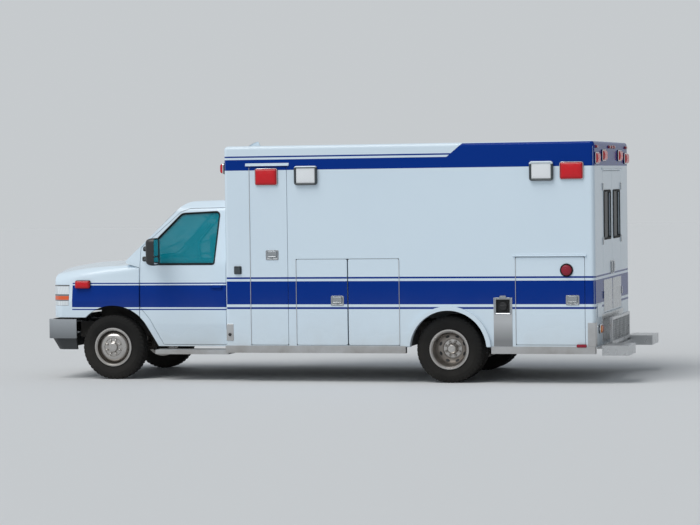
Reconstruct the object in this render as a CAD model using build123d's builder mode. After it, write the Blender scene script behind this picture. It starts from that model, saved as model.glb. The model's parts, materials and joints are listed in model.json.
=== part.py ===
"""A box-body ambulance on a van-type cab chassis with twin rear wheels, in millimetres.

X runs forward, Y to the vehicle's left and Z up. The origin is on the ground, midway between the
ends of the bumpers. Places along the vehicle are given from the front axle, forward positive, and
fx() turns them into X.
"""

import math
import os

from build123d import *

os.makedirs("parts", exist_ok=True)

# Driving dimensions of the whole vehicle
LENGTH = 6840.0
WHEELBASE = 4013.0
FRONT_OVERHANG = 830.0
FRONT_AXLE_X = LENGTH / 2 - FRONT_OVERHANG
REAR = -WHEELBASE

# Wheels and tyres
TYRE_R = 372.0
TYRE_HALF_W = 107.0
RIM_R = 204.0
FLANGE_R = 222.0
FRONT_WHEEL_Y = 881.0
TWIN_CENTRE_Y = 955.0
TWIN_HALF_SPACING = 125.0
SPINDLE_R = 30.0
REAR_SPINDLE_R = 40.0
RUNNING_GAP = 0.08
KINGPIN_Y = 745.0
KINGPIN_R = 16.0

# Cab
CAB_BACK = -1435.0
CAB_BOTTOM = 385.0
CAB_WALL = 35.0
DOOR_WALL = 60.0
FIREWALL = -235.0
NOSE_WALL = 30.0
NOSE_BACK = FIREWALL - 88
FRONT_ARCH_R = 480.0
GRILLE_HALF_W = 570.0
GRILLE_Z = (725.0, 1090.0)
LAMP_Z = (850.0, 1090.0)
NOSE_BOTTOM = 715.0
HOOD_BACK = 10.0
HOOD_LIP_Z = 1096.0
CABIN_BOW_R = 5200.0
NOSE_BOW_R = 8000.0
NOSE_FRONT = 790.0
SEAM = 5.0
CAB_FLOOR_Z = (650.0, 680.0)
SILL_Y = (800.0, 890.0)

# Module, the box body
MODULE_FRONT = -1435.0
MODULE_LENGTH = 4220.0
MODULE_BACK = MODULE_FRONT - MODULE_LENGTH
HALF_W = 1205.0
ROOF = 2660.0
WALL = 50.0
WALL_BOTTOM = 400.0
FLOOR_TOP = 740.0
EDGE_R = 45.0
REAR_ARCH_R = 435.0
REAR_DOOR_HALF_W = 640.0
REAR_DOOR_Z = (745.0, 2330.0)
COMPARTMENT_DEPTH = 430.0
COMPARTMENT_SKIN = 12.0

# Chassis frame
RAIL_Y = (360.0, 430.0)
RAIL_Z = (460.0, 640.0)
RAIL_T = 8.0
RAIL_ENDS = (-5600.0, 600.0)

# Openings in the sides: name, front edge, back edge, bottom, top, all from the front axle
LEFT_OPENINGS = {
    "tall": (-1732.0, -2176.0, 415.0, 2425.0),
    "double": (-2267.0, -3460.0, 415.0, 1385.0),
    "rear": (-4770.0, -5544.0, 425.0, 1395.0),
}
RIGHT_OPENINGS = {
    "entry": (-2190.0, -2990.0, 430.0, 2330.0),
    "rear": (-4770.0, -5544.0, 425.0, 1900.0),
}
DOUBLE_SPLIT = -2866.0
FILLER = (-4545.0, -4713.0, 775.0, 935.0)

# Cab side window and cab door outlines: place from the front axle, height, corner radius
CAB_WINDOW = [
    (-445, 1320, 25),
    (-445, 1532, 30),
    (-806, 1905, 90),
    (-1264, 1924, 45),
    (-1232, 1320, 30),
]
CAB_DOOR = [
    (-335, 1515, 30),
    (-785, 1920, 60),
    (-900, 1962, 60),
    (-1375, 1968, 40),
    (-1375, 400, 30),
    (-610, 400, 30),
    (-452, 690, 60),
    (-335, 830, 60),
]


def fx(place):
    """Turns a place measured from the front axle into X."""
    return FRONT_AXLE_X + place


def block(x, y, z, mode=Mode.ADD):
    """A box between two places along the vehicle, two widths and two heights."""
    x = (fx(min(x)), fx(max(x)))
    middle = ((x[0] + x[1]) / 2, sum(y) / 2, sum(z) / 2)
    with Locations(middle):
        Box(x[1] - x[0], abs(y[1] - y[0]), abs(z[1] - z[0]), mode=mode)


def side_prism(points, y, mode=Mode.ADD, radii=None):
    """A side-view outline of (place, height) points, extruded between two widths."""
    low, high = min(y), max(y)
    with BuildSketch(Plane.XZ.offset(-high)) as outline:
        with BuildLine():
            corners = [(fx(p[0]), p[1]) for p in points]
            FilletPolyline(*corners, radius=radii or [0] * len(points), close=True)
        make_face()
    extrude(outline.sketch, amount=high - low, mode=mode)


def front_prism(points, x, mode=Mode.ADD, radii=None):
    """A front-view outline of (width, height) points, extruded between two places."""
    low, high = fx(min(x)), fx(max(x))
    with BuildSketch(Plane.YZ.offset(low)) as outline:
        with BuildLine():
            FilletPolyline(*points, radius=radii or [0] * len(points), close=True)
        make_face()
    extrude(outline.sketch, amount=high - low, mode=mode)


def plan_prism(points, z, mode=Mode.ADD, radii=None):
    """A plan outline of (place, width) points, extruded between two heights."""
    with BuildSketch(Plane.XY.offset(min(z))) as outline:
        with BuildLine():
            corners = [(fx(p[0]), p[1]) for p in points]
            FilletPolyline(*corners, radius=radii or [0] * len(points), close=True)
        make_face()
    extrude(outline.sketch, amount=max(z) - min(z), mode=mode)


def cross_cylinder(place, z, r, y, mode=Mode.ADD):
    """A cylinder lying across the vehicle, between two widths."""
    with BuildSketch(Plane.XZ.offset(-max(y))) as outline:
        with Locations((fx(place), z)):
            Circle(r)
    extrude(outline.sketch, amount=max(y) - min(y), mode=mode)


def turned(points, place, y, z, mode=Mode.ADD, side=1, radii=None):
    """An outline of (width out from y, radius) points, turned about a line across the vehicle."""
    with BuildSketch(Plane.XY.offset(z)) as outline:
        with BuildLine():
            corners = [(fx(place) + p[1], y + side * p[0]) for p in points]
            FilletPolyline(*corners, radius=radii or [0] * len(points), close=True)
        make_face()
    revolve(outline.sketch, axis=Axis((fx(place), 0, z), (0, 1, 0)), mode=mode)


def mirrored(points):
    """A half outline with positive widths, completed with its mirror image."""
    return points + [(-y, z) for y, z in reversed(points)]


def both_sides(points):
    """A half plan of (place, width) points, completed with its mirror image."""
    return points + [(x, -y) for x, y in reversed(points)]


def save(part, name):
    """Labels a finished piece and writes it as its own STEP file."""
    part.label = name
    export_step(part, f"parts/{name}.step")


# The cabin's side view at the centre line: place, height, corner radius
CABIN_SIDE = [
    (-1700, 300, 0),
    (-1700, 2066, 0),
    (-775, 2040, 300),
    (-50, 1345, 25),
    (FIREWALL, 1288, 0),
    (FIREWALL, 300, 0),
]
# The cabin's front view, left half: width, height, corner radius
CABIN_FRONT = [
    (958, 385, 0),
    (985, 640, 300),
    (990, 1000, 900),
    (972, 1335, 400),
    (800, 1960, 110),
    (670, 2052, 160),
]
# The nose's cross sections: place, bottom width, side width, shoulder width, shoulder height,
# shoulder radius, top height
NOSE_SECTIONS = [
    (NOSE_BACK, 965, 990, 968, 1310, 60, 1352),
    (200, 975, 992, 952, 1285, 130, 1338),
    (540, 960, 975, 915, 1235, 160, 1320),
    (840, 930, 945, 868, 1165, 180, 1272),
]
# The nose's side view at the centre line, and its plan view
NOSE_SIDE = [
    (-420, 300, 0),
    (NOSE_FRONT, 300, 0),
    (NOSE_FRONT, 1060, 60),
    (778, 1200, 90),
    (715, 1280, 110),
    (430, 1330, 300),
    (-420, 1500, 0),
]
NOSE_PLAN = [(-420, 1010), (430, 1010), (670, 955), (768, 850), (870, 570)]


def cabin_volume(inset, back):
    """The cabin's outer form taken in by a wall's thickness: the bowed side view, turned about a
    far upright line, cut to the front view's outline."""
    profile = [(p[0], p[1]) for p in CABIN_SIDE]
    with BuildPart() as volume:
        with BuildSketch(Plane.XZ):
            with BuildLine():
                corners = [(fx(x), z) for x, z in profile]
                FilletPolyline(*corners, radius=[p[2] for p in CABIN_SIDE], close=True)
            make_face()
            if inset:
                offset(amount=-inset, kind=Kind.INTERSECTION, mode=Mode.REPLACE)
        bow_axis = Axis((fx(-60) - CABIN_BOW_R, 0, 0), (0, 0, 1))
        revolve(axis=bow_axis, revolution_arc=30)
    turned_back = volume.part.rotate(bow_axis, -15)
    with BuildPart() as whole:
        add(turned_back)
        with BuildSketch(Plane.YZ.offset(fx(back))):
            with BuildLine():
                half = [(y, z) for y, z, _ in CABIN_FRONT]
                radii = [r for _, _, r in CABIN_FRONT]
                FilletPolyline(*mirrored(half), radius=radii + radii[::-1], close=True)
            make_face()
            if inset:
                offset(amount=-inset, kind=Kind.INTERSECTION, mode=Mode.REPLACE)
        extrude(amount=-back, mode=Mode.INTERSECT)
    return whole.part


def nose_volume(inset):
    """The nose's outer form taken in by a wall's thickness: a loft of arched sections, cut to a
    bowed side view and to a plan with rounded corners."""
    with BuildPart() as whole:
        for place, w_bottom, w_side, w_top, z_top, r, z_crown in NOSE_SECTIONS:
            side = (w_side - inset, 900)
            shoulder = (w_top - inset, z_top - inset)
            with BuildSketch(Plane.YZ.offset(fx(place))) as section:
                with BuildLine():
                    Polyline((-w_bottom + inset, CAB_BOTTOM), (w_bottom - inset, CAB_BOTTOM), side, shoulder)
                    ThreePointArc(shoulder, (0, z_crown - inset), (-shoulder[0], shoulder[1]))
                    Polyline((-shoulder[0], shoulder[1]), (-side[0], side[1]), (-w_bottom + inset, CAB_BOTTOM))
                make_face()
                tops = section.vertices().filter_by(lambda v: v.Y > 1000)
                fillet(tops, max(r - inset, 20))
        loft()
    with BuildPart() as bowed:
        with BuildSketch(Plane.XZ):
            with BuildLine():
                corners = [(fx(p[0]), p[1]) for p in NOSE_SIDE]
                FilletPolyline(*corners, radius=[p[2] for p in NOSE_SIDE], close=True)
            make_face()
            if inset:
                offset(amount=-inset, kind=Kind.INTERSECTION, mode=Mode.REPLACE)
        bow_axis = Axis((fx(NOSE_FRONT) - NOSE_BOW_R, 0, 0), (0, 0, 1))
        revolve(axis=bow_axis, revolution_arc=30)
    with BuildPart() as nose:
        add(whole.part)
        add(bowed.part.rotate(bow_axis, -15), mode=Mode.INTERSECT)
        with BuildSketch(Plane.XY.offset(200)):
            with BuildLine():
                corners = [(fx(x), y) for x, y in both_sides(NOSE_PLAN)]
                bends = [0, 300, 160, 60, 0]
                FilletPolyline(*corners, radius=bends + bends[::-1], close=True)
            make_face()
            if inset:
                offset(amount=-inset, kind=Kind.INTERSECTION, mode=Mode.REPLACE)
        extrude(amount=1400, mode=Mode.INTERSECT)
    return nose.part


def front_arch(mode=Mode.SUBTRACT):
    """The front wheel openings: a round arch that runs out straight behind and below the wheel."""
    for side in (1, -1):
        y = (side * 520, side * 1100)
        cross_cylinder(0, TYRE_R, FRONT_ARCH_R, y, mode)
        tail = [(-416, 612), (-548, 384), (-548, 250), (480, 250), (480, 372), (0, 620)]
        side_prism(tail, y, mode)


cabin = cabin_volume(0, CAB_BACK)
cabin_inside = cabin_volume(CAB_WALL, CAB_BACK - 100)
cabin_door_inside = cabin_volume(DOOR_WALL, CAB_BACK)
nose = nose_volume(0)
nose_inside = nose_volume(NOSE_WALL)

# Cab shell: roof, pillars, sills, cowl and firewall in one pressing
door_outline = [(x, z) for x, z, _ in CAB_DOOR]
door_radii = [r for _, _, r in CAB_DOOR]
window_outline = [(x, z) for x, z, _ in CAB_WINDOW]
window_radii = [r for _, _, r in CAB_WINDOW]
WINDSCREEN = [(868, 1395), (735, 1945)]
with BuildPart() as cab_shell:
    add(cabin)
    add(cabin_inside, mode=Mode.SUBTRACT)
    for side in (1, -1):
        side_prism(door_outline, (side * 600, side * 1100), Mode.SUBTRACT, door_radii)
    front_prism(mirrored(WINDSCREEN), (-1000, 0), Mode.SUBTRACT, [60, 70, 70, 60])
    block((CAB_BACK - 10, 0), (-SILL_Y[1], SILL_Y[1]), (300, CAB_FLOOR_Z[0]), Mode.SUBTRACT)
    for side in (1, -1):
        block((CAB_BACK, -620), (side * SILL_Y[0], side * SILL_Y[1]), (CAB_BOTTOM, CAB_FLOOR_Z[0]))
    front_arch()
save(cab_shell.part, "cab_shell")

# Windscreen: a bowed pane a little under the cab's skin
glass_gap = 2.0
with BuildPart() as windscreen:
    add(cabin_volume(7, CAB_BACK))
    add(cabin_volume(13, CAB_BACK), mode=Mode.SUBTRACT)
    pane = [(868 - glass_gap, 1395 + glass_gap), (735 - glass_gap, 1945 - glass_gap)]
    front_prism(mirrored(pane), (-1000, 0), Mode.INTERSECT, [58, 68, 68, 58])
save(windscreen.part, "windscreen")

# Cab doors and their panes
with BuildPart() as door_skin:
    add(cabin)
    add(cabin_door_inside, mode=Mode.SUBTRACT)
with BuildPart() as glass_skin:
    add(cabin_volume(20, CAB_BACK))
    add(cabin_volume(26, CAB_BACK), mode=Mode.SUBTRACT)
for side, word in ((1, "left"), (-1, "right")):
    with BuildPart() as cab_door:
        with BuildSketch(Plane.XZ.offset(-1100 if side > 0 else 600)) as outline:
            with BuildLine():
                corners = [(fx(x), z) for x, z in door_outline]
                FilletPolyline(*corners, radius=door_radii, close=True)
            make_face()
            offset(amount=-SEAM, kind=Kind.INTERSECTION, mode=Mode.REPLACE)
        extrude(amount=500)
        add(door_skin.part, mode=Mode.INTERSECT)
        block((CAB_BACK, 0), (side * 500, side * (SILL_Y[1] + SEAM)), (300, 1400), Mode.SUBTRACT)
        side_prism(window_outline, (side * 600, side * 1100), Mode.SUBTRACT, window_radii)
    save(cab_door.part, f"cab_door_{word}")
    with BuildPart() as door_glass:
        with BuildSketch(Plane.XZ.offset(-1100 if side > 0 else 600)):
            with BuildLine():
                corners = [(fx(x), z) for x, z in window_outline]
                FilletPolyline(*corners, radius=window_radii, close=True)
            make_face()
            offset(amount=-1.0, kind=Kind.INTERSECTION, mode=Mode.REPLACE)
        extrude(amount=500)
        add(glass_skin.part, mode=Mode.INTERSECT)
    save(door_glass.part, f"cab_door_glass_{word}")

# Door mirrors: a tall head on two arms from a base on the door
MIRROR_X = (-505.0, -620.0)
MIRROR_Y = (1085.0, 1300.0)
MIRROR_Z = (1318.0, 1632.0)
for side, word in ((1, "left"), (-1, "right")):
    with BuildPart() as mirror:
        block(MIRROR_X, (side * MIRROR_Y[0], side * MIRROR_Y[1]), MIRROR_Z)
        fillet(mirror.edges(), 28)
        for z in (1385, 1560):
            arm_end = 965 if z < 1400 else 925
            cross_cylinder(-545, z, 13, (side * arm_end, side * 1120))
    save(mirror.part, f"mirror_{word}")

# Nose: front wings left and right of the hood and the grille
HOOD_PLAN = [(HOOD_BACK, 735), (900, 700)]
with BuildPart() as nose_shell:
    add(nose)
    add(nose_inside, mode=Mode.SUBTRACT)
    add(cabin_volume(-SEAM, CAB_BACK), mode=Mode.SUBTRACT)
    front_arch()
    block((300, 900), (-1100, 1100), (300, NOSE_BOTTOM), Mode.SUBTRACT)
with BuildPart() as front_wings:
    add(nose_shell.part)
    plan_prism(both_sides(HOOD_PLAN), (HOOD_LIP_Z - SEAM, 1700), Mode.SUBTRACT)
    block((500, 900), (-GRILLE_HALF_W - 4, GRILLE_HALF_W + 4), (300, 1130), Mode.SUBTRACT)
    for side in (1, -1):
        block((540, 900), (side * 580, side * 1100), LAMP_Z, Mode.SUBTRACT)
save(front_wings.part, "front_wings")

with BuildPart() as hood:
    add(nose_shell.part)
    inner_plan = [(HOOD_BACK + SEAM, 735 - SEAM), (900, 700 - SEAM)]
    plan_prism(both_sides(inner_plan), (HOOD_LIP_Z, 1700), Mode.INTERSECT)
save(hood.part, "hood")

# Grille: a frame with crossbars, cut from the nose's own bowed form
with BuildPart() as grille:
    add(nose)
    add(nose_volume(45), mode=Mode.SUBTRACT)
    block((400, 900), (-GRILLE_HALF_W, GRILLE_HALF_W), GRILLE_Z, Mode.INTERSECT)
    for low, high in ((752, 812), (828, 888), (904, 964), (980, 1058)):
        block((400, 900), (-GRILLE_HALF_W + 34, GRILLE_HALF_W - 34), (low, high), Mode.SUBTRACT)
    for y in range(-480, 481, 120):
        block((722, 766), (y - 4, y + 4), (740, 1070))
save(grille.part, "grille")

# Headlamps: tall lamps that wrap round the corners
with BuildPart() as headlamps:
    add(nose)
    add(nose_volume(55), mode=Mode.SUBTRACT)
    block((400, 900), (-583, 583), (300, 1400), Mode.SUBTRACT)
    block((543, 900), (-1100, 1100), (LAMP_Z[0] + 3, LAMP_Z[1] - 3), Mode.INTERSECT)
save(headlamps.part, "headlamps")

# Front bumper: a bright bar that wraps round the corners, a dark valance below it
BUMPER_PLAN = [(445, 990), (740, 990), (802, 945), (824, 700), (830, 250)]
VALANCE_PLAN = [(460, 965), (700, 965), (768, 912), (792, 690), (800, 250)]
VALANCE_FOOT = [(460, 925), (640, 925), (700, 880), (728, 680), (738, 250)]
BUMPER_BENDS = [0, 55, 55, 600, 0]
with BuildPart() as front_bumper:
    for top, foot, z in ((BUMPER_PLAN, BUMPER_PLAN, (472, 694)), (VALANCE_PLAN, VALANCE_FOOT, (341, 472))):
        for wall, mode in ((0, Mode.ADD), (32, Mode.SUBTRACT)):
            for plan, height in ((foot, z[0]), (top, z[1])):
                inner = [(x - wall, y - wall) for x, y in plan]
                inner[0] = (plan[0][0] - 3 * wall, plan[0][1] - wall)
                with BuildSketch(Plane.XY.offset(height)):
                    with BuildLine():
                        corners = [(fx(x), y) for x, y in both_sides(inner)]
                        FilletPolyline(*corners, radius=BUMPER_BENDS + BUMPER_BENDS[::-1], close=True)
                    make_face()
            loft(mode=mode)
    for side in (1, -1):
        block((600, 765), (side * RAIL_Y[0], side * RAIL_Y[1]), (520, 640))
save(front_bumper.part, "front_bumper")

# Cab floor with the engine cover between the seats and the wheel houses in its front corners
with BuildPart() as cab_floor:
    for side in (1, -1):
        cross_cylinder(0, TYRE_R, FRONT_ARCH_R + 12, (side * 508, side * 885))
    block((CAB_BACK, 0), (-SILL_Y[1], SILL_Y[1]), (CAB_FLOOR_Z[0], 1100), Mode.INTERSECT)
    block((CAB_BACK, 0), (-SILL_Y[1], SILL_Y[1]), CAB_FLOOR_Z)
    block((-860, 0), (-260, 260), (CAB_FLOOR_Z[1], 1020))
    block((-848, 0), (-248, 248), (CAB_FLOOR_Z[0], 1008), Mode.SUBTRACT)
    front_arch()
    add(cabin_inside, mode=Mode.INTERSECT)
save(cab_floor.part, "cab_floor")

# Dashboard with the steering column and its hand wheel
HAND_WHEEL = (-745.0, 420.0, 1150.0)
with BuildPart() as dashboard:
    shelf = [(-200, 1020), (-520, 1040), (-585, 1120), (-570, 1290), (-500, 1330), (-200, 1330)]
    side_prism(shelf, (-885, 885), Mode.ADD, [0, 60, 60, 60, 40, 0])
    add(cabin_inside, mode=Mode.INTERSECT)
    rim_plane = Plane(
        origin=(fx(HAND_WHEEL[0]), HAND_WHEEL[1], HAND_WHEEL[2]),
        x_dir=(0, 1, 0),
        z_dir=(-math.cos(math.radians(35)), 0, math.sin(math.radians(35))),
    )
    with BuildSketch(rim_plane):
        Circle(45)
    extrude(amount=-260)
    with BuildSketch(rim_plane.offset(-6)):
        Circle(200)
        Circle(172, mode=Mode.SUBTRACT)
        Rectangle(360, 40)
        with Locations((0, 90)):
            Rectangle(40, 180)
        Circle(60)
    extrude(amount=24)
save(dashboard.part, "dashboard")

# Two seats in the cab, each a base, a cushion and a back
with BuildPart() as cab_seats:
    for y in (-430, 430):
        block((-920, -1330), (y - 200, y + 200), (CAB_FLOOR_Z[1], 900))
        back = [(-880, 900), (-880, 1010), (-1200, 990), (-1300, 1560), (-1330, 1760), (-1420, 1760)]
        back += [(-1425, 1500), (-1350, 900)]
        side_prism(back, (y - 250, y + 250), Mode.ADD, [25, 40, 20, 0, 35, 30, 60, 25])
save(cab_seats.part, "cab_seats")

# Chassis frame: two rails, cross members between them and outriggers under the body's floor
with BuildPart() as frame_rails:
    for side in (1, -1):
        block(RAIL_ENDS, (side * RAIL_Y[0], side * RAIL_Y[1]), RAIL_Z)
        web = (side * RAIL_Y[0], side * (RAIL_Y[1] - RAIL_T))
        block((RAIL_ENDS[0] - 1, RAIL_ENDS[1] + 1), web, (RAIL_Z[0] + RAIL_T, RAIL_Z[1] - RAIL_T), Mode.SUBTRACT)
    for place in (560, -1000, -1900, -3350, -4560, -5560):
        block((place - 35, place + 35), (-RAIL_Y[1] + RAIL_T, RAIL_Y[1] - RAIL_T), (490, 610))
    for place in (-1600, -2200, -2900, -3500, -4550, -5100, -5560):
        block((place - 30, place + 30), (-690, 690), (RAIL_Z[1], FLOOR_TOP - WALL))
    for side in (1, -1):
        block((-1000, -900), (side * RAIL_Y[1], side * SILL_Y[0]), (600, 640))
        block((-1000, -900), (side * 500, side * 600), (RAIL_Z[1], CAB_FLOOR_Z[0]))
save(frame_rails.part, "frame_rails")

# Engine and gearbox as one plain block, with the drive to the rear on its own shaft
with BuildPart() as engine_block:
    block((-225, 400), (-260, 260), (480, 960))
    block((-860, -225), (-150, 150), (470, 630))
save(engine_block.part, "engine_block")

# Front axle beam with an upright eye at each end
with BuildPart() as front_axle:
    beam = [(-KINGPIN_Y, 400), (-560, 400), (-430, 320), (430, 320), (560, 400), (KINGPIN_Y, 400)]
    beam += [(KINGPIN_Y, 344), (540, 344), (410, 262), (-410, 262), (-540, 344), (-KINGPIN_Y, 344)]
    front_prism(beam, (-38, 38), Mode.ADD, [0, 60, 60, 60, 60, 0, 0, 60, 60, 60, 60, 0])
    for side in (1, -1):
        with Locations((fx(0), side * KINGPIN_Y, 372)):
            Cylinder(36, 80)
            Cylinder(KINGPIN_R + RUNNING_GAP, 80, mode=Mode.SUBTRACT)
        block((-300, 300), (side * 362, side * 428), (320, 344))
        for place in (-300, 280):
            block((place, place + 20), (side * 362, side * 428), (320, RAIL_Z[0]))
save(front_axle.part, "front_axle")

# Steering knuckles: a fork round the axle's eye, its pin and the wheel's stub shaft
for side, word in ((1, "left"), (-1, "right")):
    with BuildPart() as knuckle:
        with Locations((fx(0), side * KINGPIN_Y, 372)):
            Cylinder(KINGPIN_R, 150)
        for z in (317, 427):
            with Locations((fx(0), side * KINGPIN_Y, z)):
                Cylinder(34, 20)
            block((-30, 30), (side * KINGPIN_Y, side * 802), (z - 10, z + 10))
        block((-45, 45), (side * 786, side * 804), (307, 437))
        cross_cylinder(0, TYRE_R, SPINDLE_R, (side * 804, side * 965))
        cross_cylinder(0, TYRE_R, 60, (side * 804, side * 812))
    save(knuckle.part, f"knuckle_{word}")

# Rear axle: tube with its gear case, stub shafts, springs and the shaft from the gearbox
with BuildPart() as rear_axle:
    cross_cylinder(REAR, TYRE_R, 52, (-712, 712))
    cross_cylinder(REAR, TYRE_R, REAR_SPINDLE_R, (-1050, 1050))
    with Locations((fx(REAR), 0, TYRE_R)):
        Sphere(150)
    with BuildSketch(Plane.YZ.offset(fx(REAR))):
        with Locations((0, 400)):
            Circle(38)
    extrude(amount=-870 - REAR)
    for side in (1, -1):
        block((REAR - 55, REAR + 55), (side * 365, side * 425), (TYRE_R, 430))
        leaf = [(REAR - 640, 458), (REAR - 300, 428), (REAR + 300, 428), (REAR + 640, 458)]
        leaf += [(REAR + 640, 442), (REAR + 300, 404), (REAR - 300, 404), (REAR - 640, 442)]
        side_prism(leaf, (side * 367, side * 423), Mode.ADD, [0, 400, 400, 0, 0, 400, 400, 0])
        for place in (REAR - 640, REAR + 620):
            block((place, place + 20), (side * 367, side * 423), (442, RAIL_Z[0]))
save(rear_axle.part, "rear_axle")

# Fuel tank between the rails, and the exhaust along the right-hand rail
with BuildPart() as fuel_tank:
    block((-4640, -5520), (-330, 330), (400, 640))
    fillet(fuel_tank.edges().filter_by(Axis.Y), 45)
save(fuel_tank.part, "fuel_tank")
with BuildPart() as exhaust_pipe:
    with BuildLine():
        pipe_way = [(-300, -200, 440), (-700, -250, 425), (-1000, -480, 425), (-3300, -480, 425)]
        FilletPolyline(*[(fx(x), y, z) for x, y, z in pipe_way], radius=150)
    with BuildSketch(Plane(origin=(fx(-300), -200, 440), z_dir=(-400, -50, -15))):
        Circle(32)
    sweep()
    block((-1500, -2200), (-580, -450), (370, 455))
save(exhaust_pipe.part, "exhaust_pipe")

# Wheels and tyres. A tyre is a ring with a rounded shoulder; a wheel is a rim with a pressed disc
TYRE_SECTION = [(-88, RIM_R), (88, RIM_R), (107, 280), (84, TYRE_R), (-84, TYRE_R), (-107, 280)]
TYRE_BENDS = [0, 0, 60, 22, 22, 60]


def tyre_ring(y, place):
    """One tyre about the line across the vehicle at this place."""
    turned(TYRE_SECTION, place, y, TYRE_R, radii=TYRE_BENDS)


def rim_ring(y, place):
    """One rim barrel: thin in the middle, with a flange outside the tyre at both ends."""
    half = [(60, 192), (72, 190), (97, 192), (100, FLANGE_R), (94, FLANGE_R), (89, RIM_R), (60, RIM_R)]
    turned(mirrored(half), place, y, TYRE_R)


for side, word in ((1, "left"), (-1, "right")):
    y = side * FRONT_WHEEL_Y
    with BuildPart() as tyre:
        tyre_ring(y, 0)
    save(tyre.part, f"tyre_front_{word}")
    with BuildPart() as wheel:
        rim_ring(y, 0)
        disc = [(40, 192), (52, 192), (86, 140), (92, 100), (92, SPINDLE_R + RUNNING_GAP)]
        disc += [(-60, SPINDLE_R + RUNNING_GAP), (-60, 55), (60, 70), (78, 100), (72, 136), (40, 184)]
        turned(disc, 0, y, TYRE_R, side=side)
        turned([(92, 0), (110, 0), (110, 26), (104, 46), (92, 46)], 0, y, TYRE_R, side=side)
    save(wheel.part, f"wheel_front_{word}")

    y = side * TWIN_CENTRE_Y
    with BuildPart() as tyres:
        for step in (1, -1):
            tyre_ring(y + step * TWIN_HALF_SPACING, REAR)
    save(tyres.part, f"tyres_rear_{word}")
    with BuildPart() as wheels:
        for step in (1, -1):
            rim_ring(y + step * TWIN_HALF_SPACING, REAR)
        bore = REAR_SPINDLE_R + RUNNING_GAP
        outer = [(60, 192), (72, 192), (34, 150), (14, 120), (14, bore), (0, bore), (0, 130), (24, 160), (48, 188)]
        turned(outer, REAR, y, TYRE_R, side=side)
        inner = [(-p[0], p[1]) for p in outer]
        turned(inner, REAR, y, TYRE_R, side=side)
        turned([(-40, bore), (110, bore), (110, 70), (14, 88), (-40, 88)], REAR, y, TYRE_R, side=side)
        turned([(100, 0), (122, 0), (122, 46), (108, 66), (100, 66)], REAR, y, TYRE_R, side=side)
    save(wheels.part, f"wheels_rear_{word}")

# Module walls and roof, cut from one box with rounded edges
with BuildPart() as module_box:
    block((MODULE_FRONT, MODULE_BACK), (-HALF_W, HALF_W), (WALL_BOTTOM, ROOF))
    fillet(module_box.edges().filter_by(Axis.Z), EDGE_R)
    fillet(module_box.faces().sort_by(Axis.Z)[-1].edges(), EDGE_R)
inside_x = (MODULE_FRONT - WALL, MODULE_BACK + WALL)
inside_y = (-HALF_W + WALL, HALF_W - WALL)
with BuildPart() as module_side_walls:
    add(module_box.part)
    block((0, -7000), (-1400, 1400), (ROOF - WALL, ROOF + 10), Mode.SUBTRACT)
    block((0, -7000), inside_y, (0, ROOF), Mode.SUBTRACT)
    for side, openings in ((1, LEFT_OPENINGS), (-1, RIGHT_OPENINGS)):
        for front, back, bottom, top in openings.values():
            block((front, back), (side * 1100, side * 1300), (bottom, top), Mode.SUBTRACT)
        cross_cylinder(REAR, TYRE_R, REAR_ARCH_R, (side * 1100, side * 1300), Mode.SUBTRACT)
    front, back, bottom, top = FILLER
    block((front, back), (1100, 1300), (bottom, top), Mode.SUBTRACT)
save(module_side_walls.part, "module_side_walls")
with BuildPart() as module_end_walls:
    add(module_box.part)
    block((0, -7000), (-1400, 1400), (ROOF - WALL, ROOF + 10), Mode.SUBTRACT)
    block(inside_x, (-1300, 1300), (0, ROOF), Mode.SUBTRACT)
    block((0, -7000), inside_y, (0, ROOF), Mode.INTERSECT)
    block((MODULE_FRONT + 10, MODULE_FRONT - 100), (-350, 350), (900, 1900), Mode.SUBTRACT)
    block((MODULE_FRONT + 10, MODULE_FRONT - 100), (-700, 700), (0, FLOOR_TOP - WALL), Mode.SUBTRACT)
    rear_x = (MODULE_BACK - 10, MODULE_BACK + 100)
    block(rear_x, (-REAR_DOOR_HALF_W, REAR_DOOR_HALF_W), REAR_DOOR_Z, Mode.SUBTRACT)
save(module_end_walls.part, "module_end_walls")
with BuildPart() as module_roof:
    add(module_box.part)
    block((0, -7000), (-1400, 1400), (0, ROOF - WALL), Mode.SUBTRACT)
save(module_roof.part, "module_roof")

# Module floor with the wheel boxes and the step well at the side entry door
ENTRY = RIGHT_OPENINGS["entry"]
ENTRY_WINDOW_X = (-2330.0, -2850.0)
ENTRY_WINDOW_Z = (1560.0, 2080.0)
STEP_Y = -890.0
WHEEL_BOX = (REAR - 475, REAR + 475)
WHEEL_BOX_TOP = 862.0
with BuildPart() as module_floor:
    block(inside_x, (-700, 700), (FLOOR_TOP - WALL, FLOOR_TOP))
    block((-1485, ENTRY[0] + 15), (-1155, -700), (FLOOR_TOP - WALL, FLOOR_TOP))
    block((ENTRY[0] + 15, ENTRY[1] - 15), (STEP_Y, -700), (FLOOR_TOP - WALL, FLOOR_TOP))
    block((ENTRY[0] + 15, ENTRY[1] - 15), (STEP_Y, STEP_Y + 15), (415, FLOOR_TOP))
    block((ENTRY[0] + 15, ENTRY[1] - 15), (-1155, STEP_Y), (415, 430))
    for place in (ENTRY[0], ENTRY[1] - 15):
        block((place, place + 15), (-1155, STEP_Y), (415, FLOOR_TOP))
    block((ENTRY[1] - 15, -4750), (-1155, -700), (FLOOR_TOP - WALL, FLOOR_TOP))
    block((-3484, -4746), (700, 1155), (FLOOR_TOP - WALL, FLOOR_TOP))
    for side in (1, -1):
        block(WHEEL_BOX, (side * 640, side * 1155), (400, WHEEL_BOX_TOP))
        hollow_x = (WHEEL_BOX[0] + 15, WHEEL_BOX[1] - 15)
        block(hollow_x, (side * 655, side * 1160), (390, WHEEL_BOX_TOP - 15), Mode.SUBTRACT)
        block(hollow_x, (side * 630, side * 655), (390, FLOOR_TOP - WALL), Mode.SUBTRACT)
save(module_floor.part, "module_floor")

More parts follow.
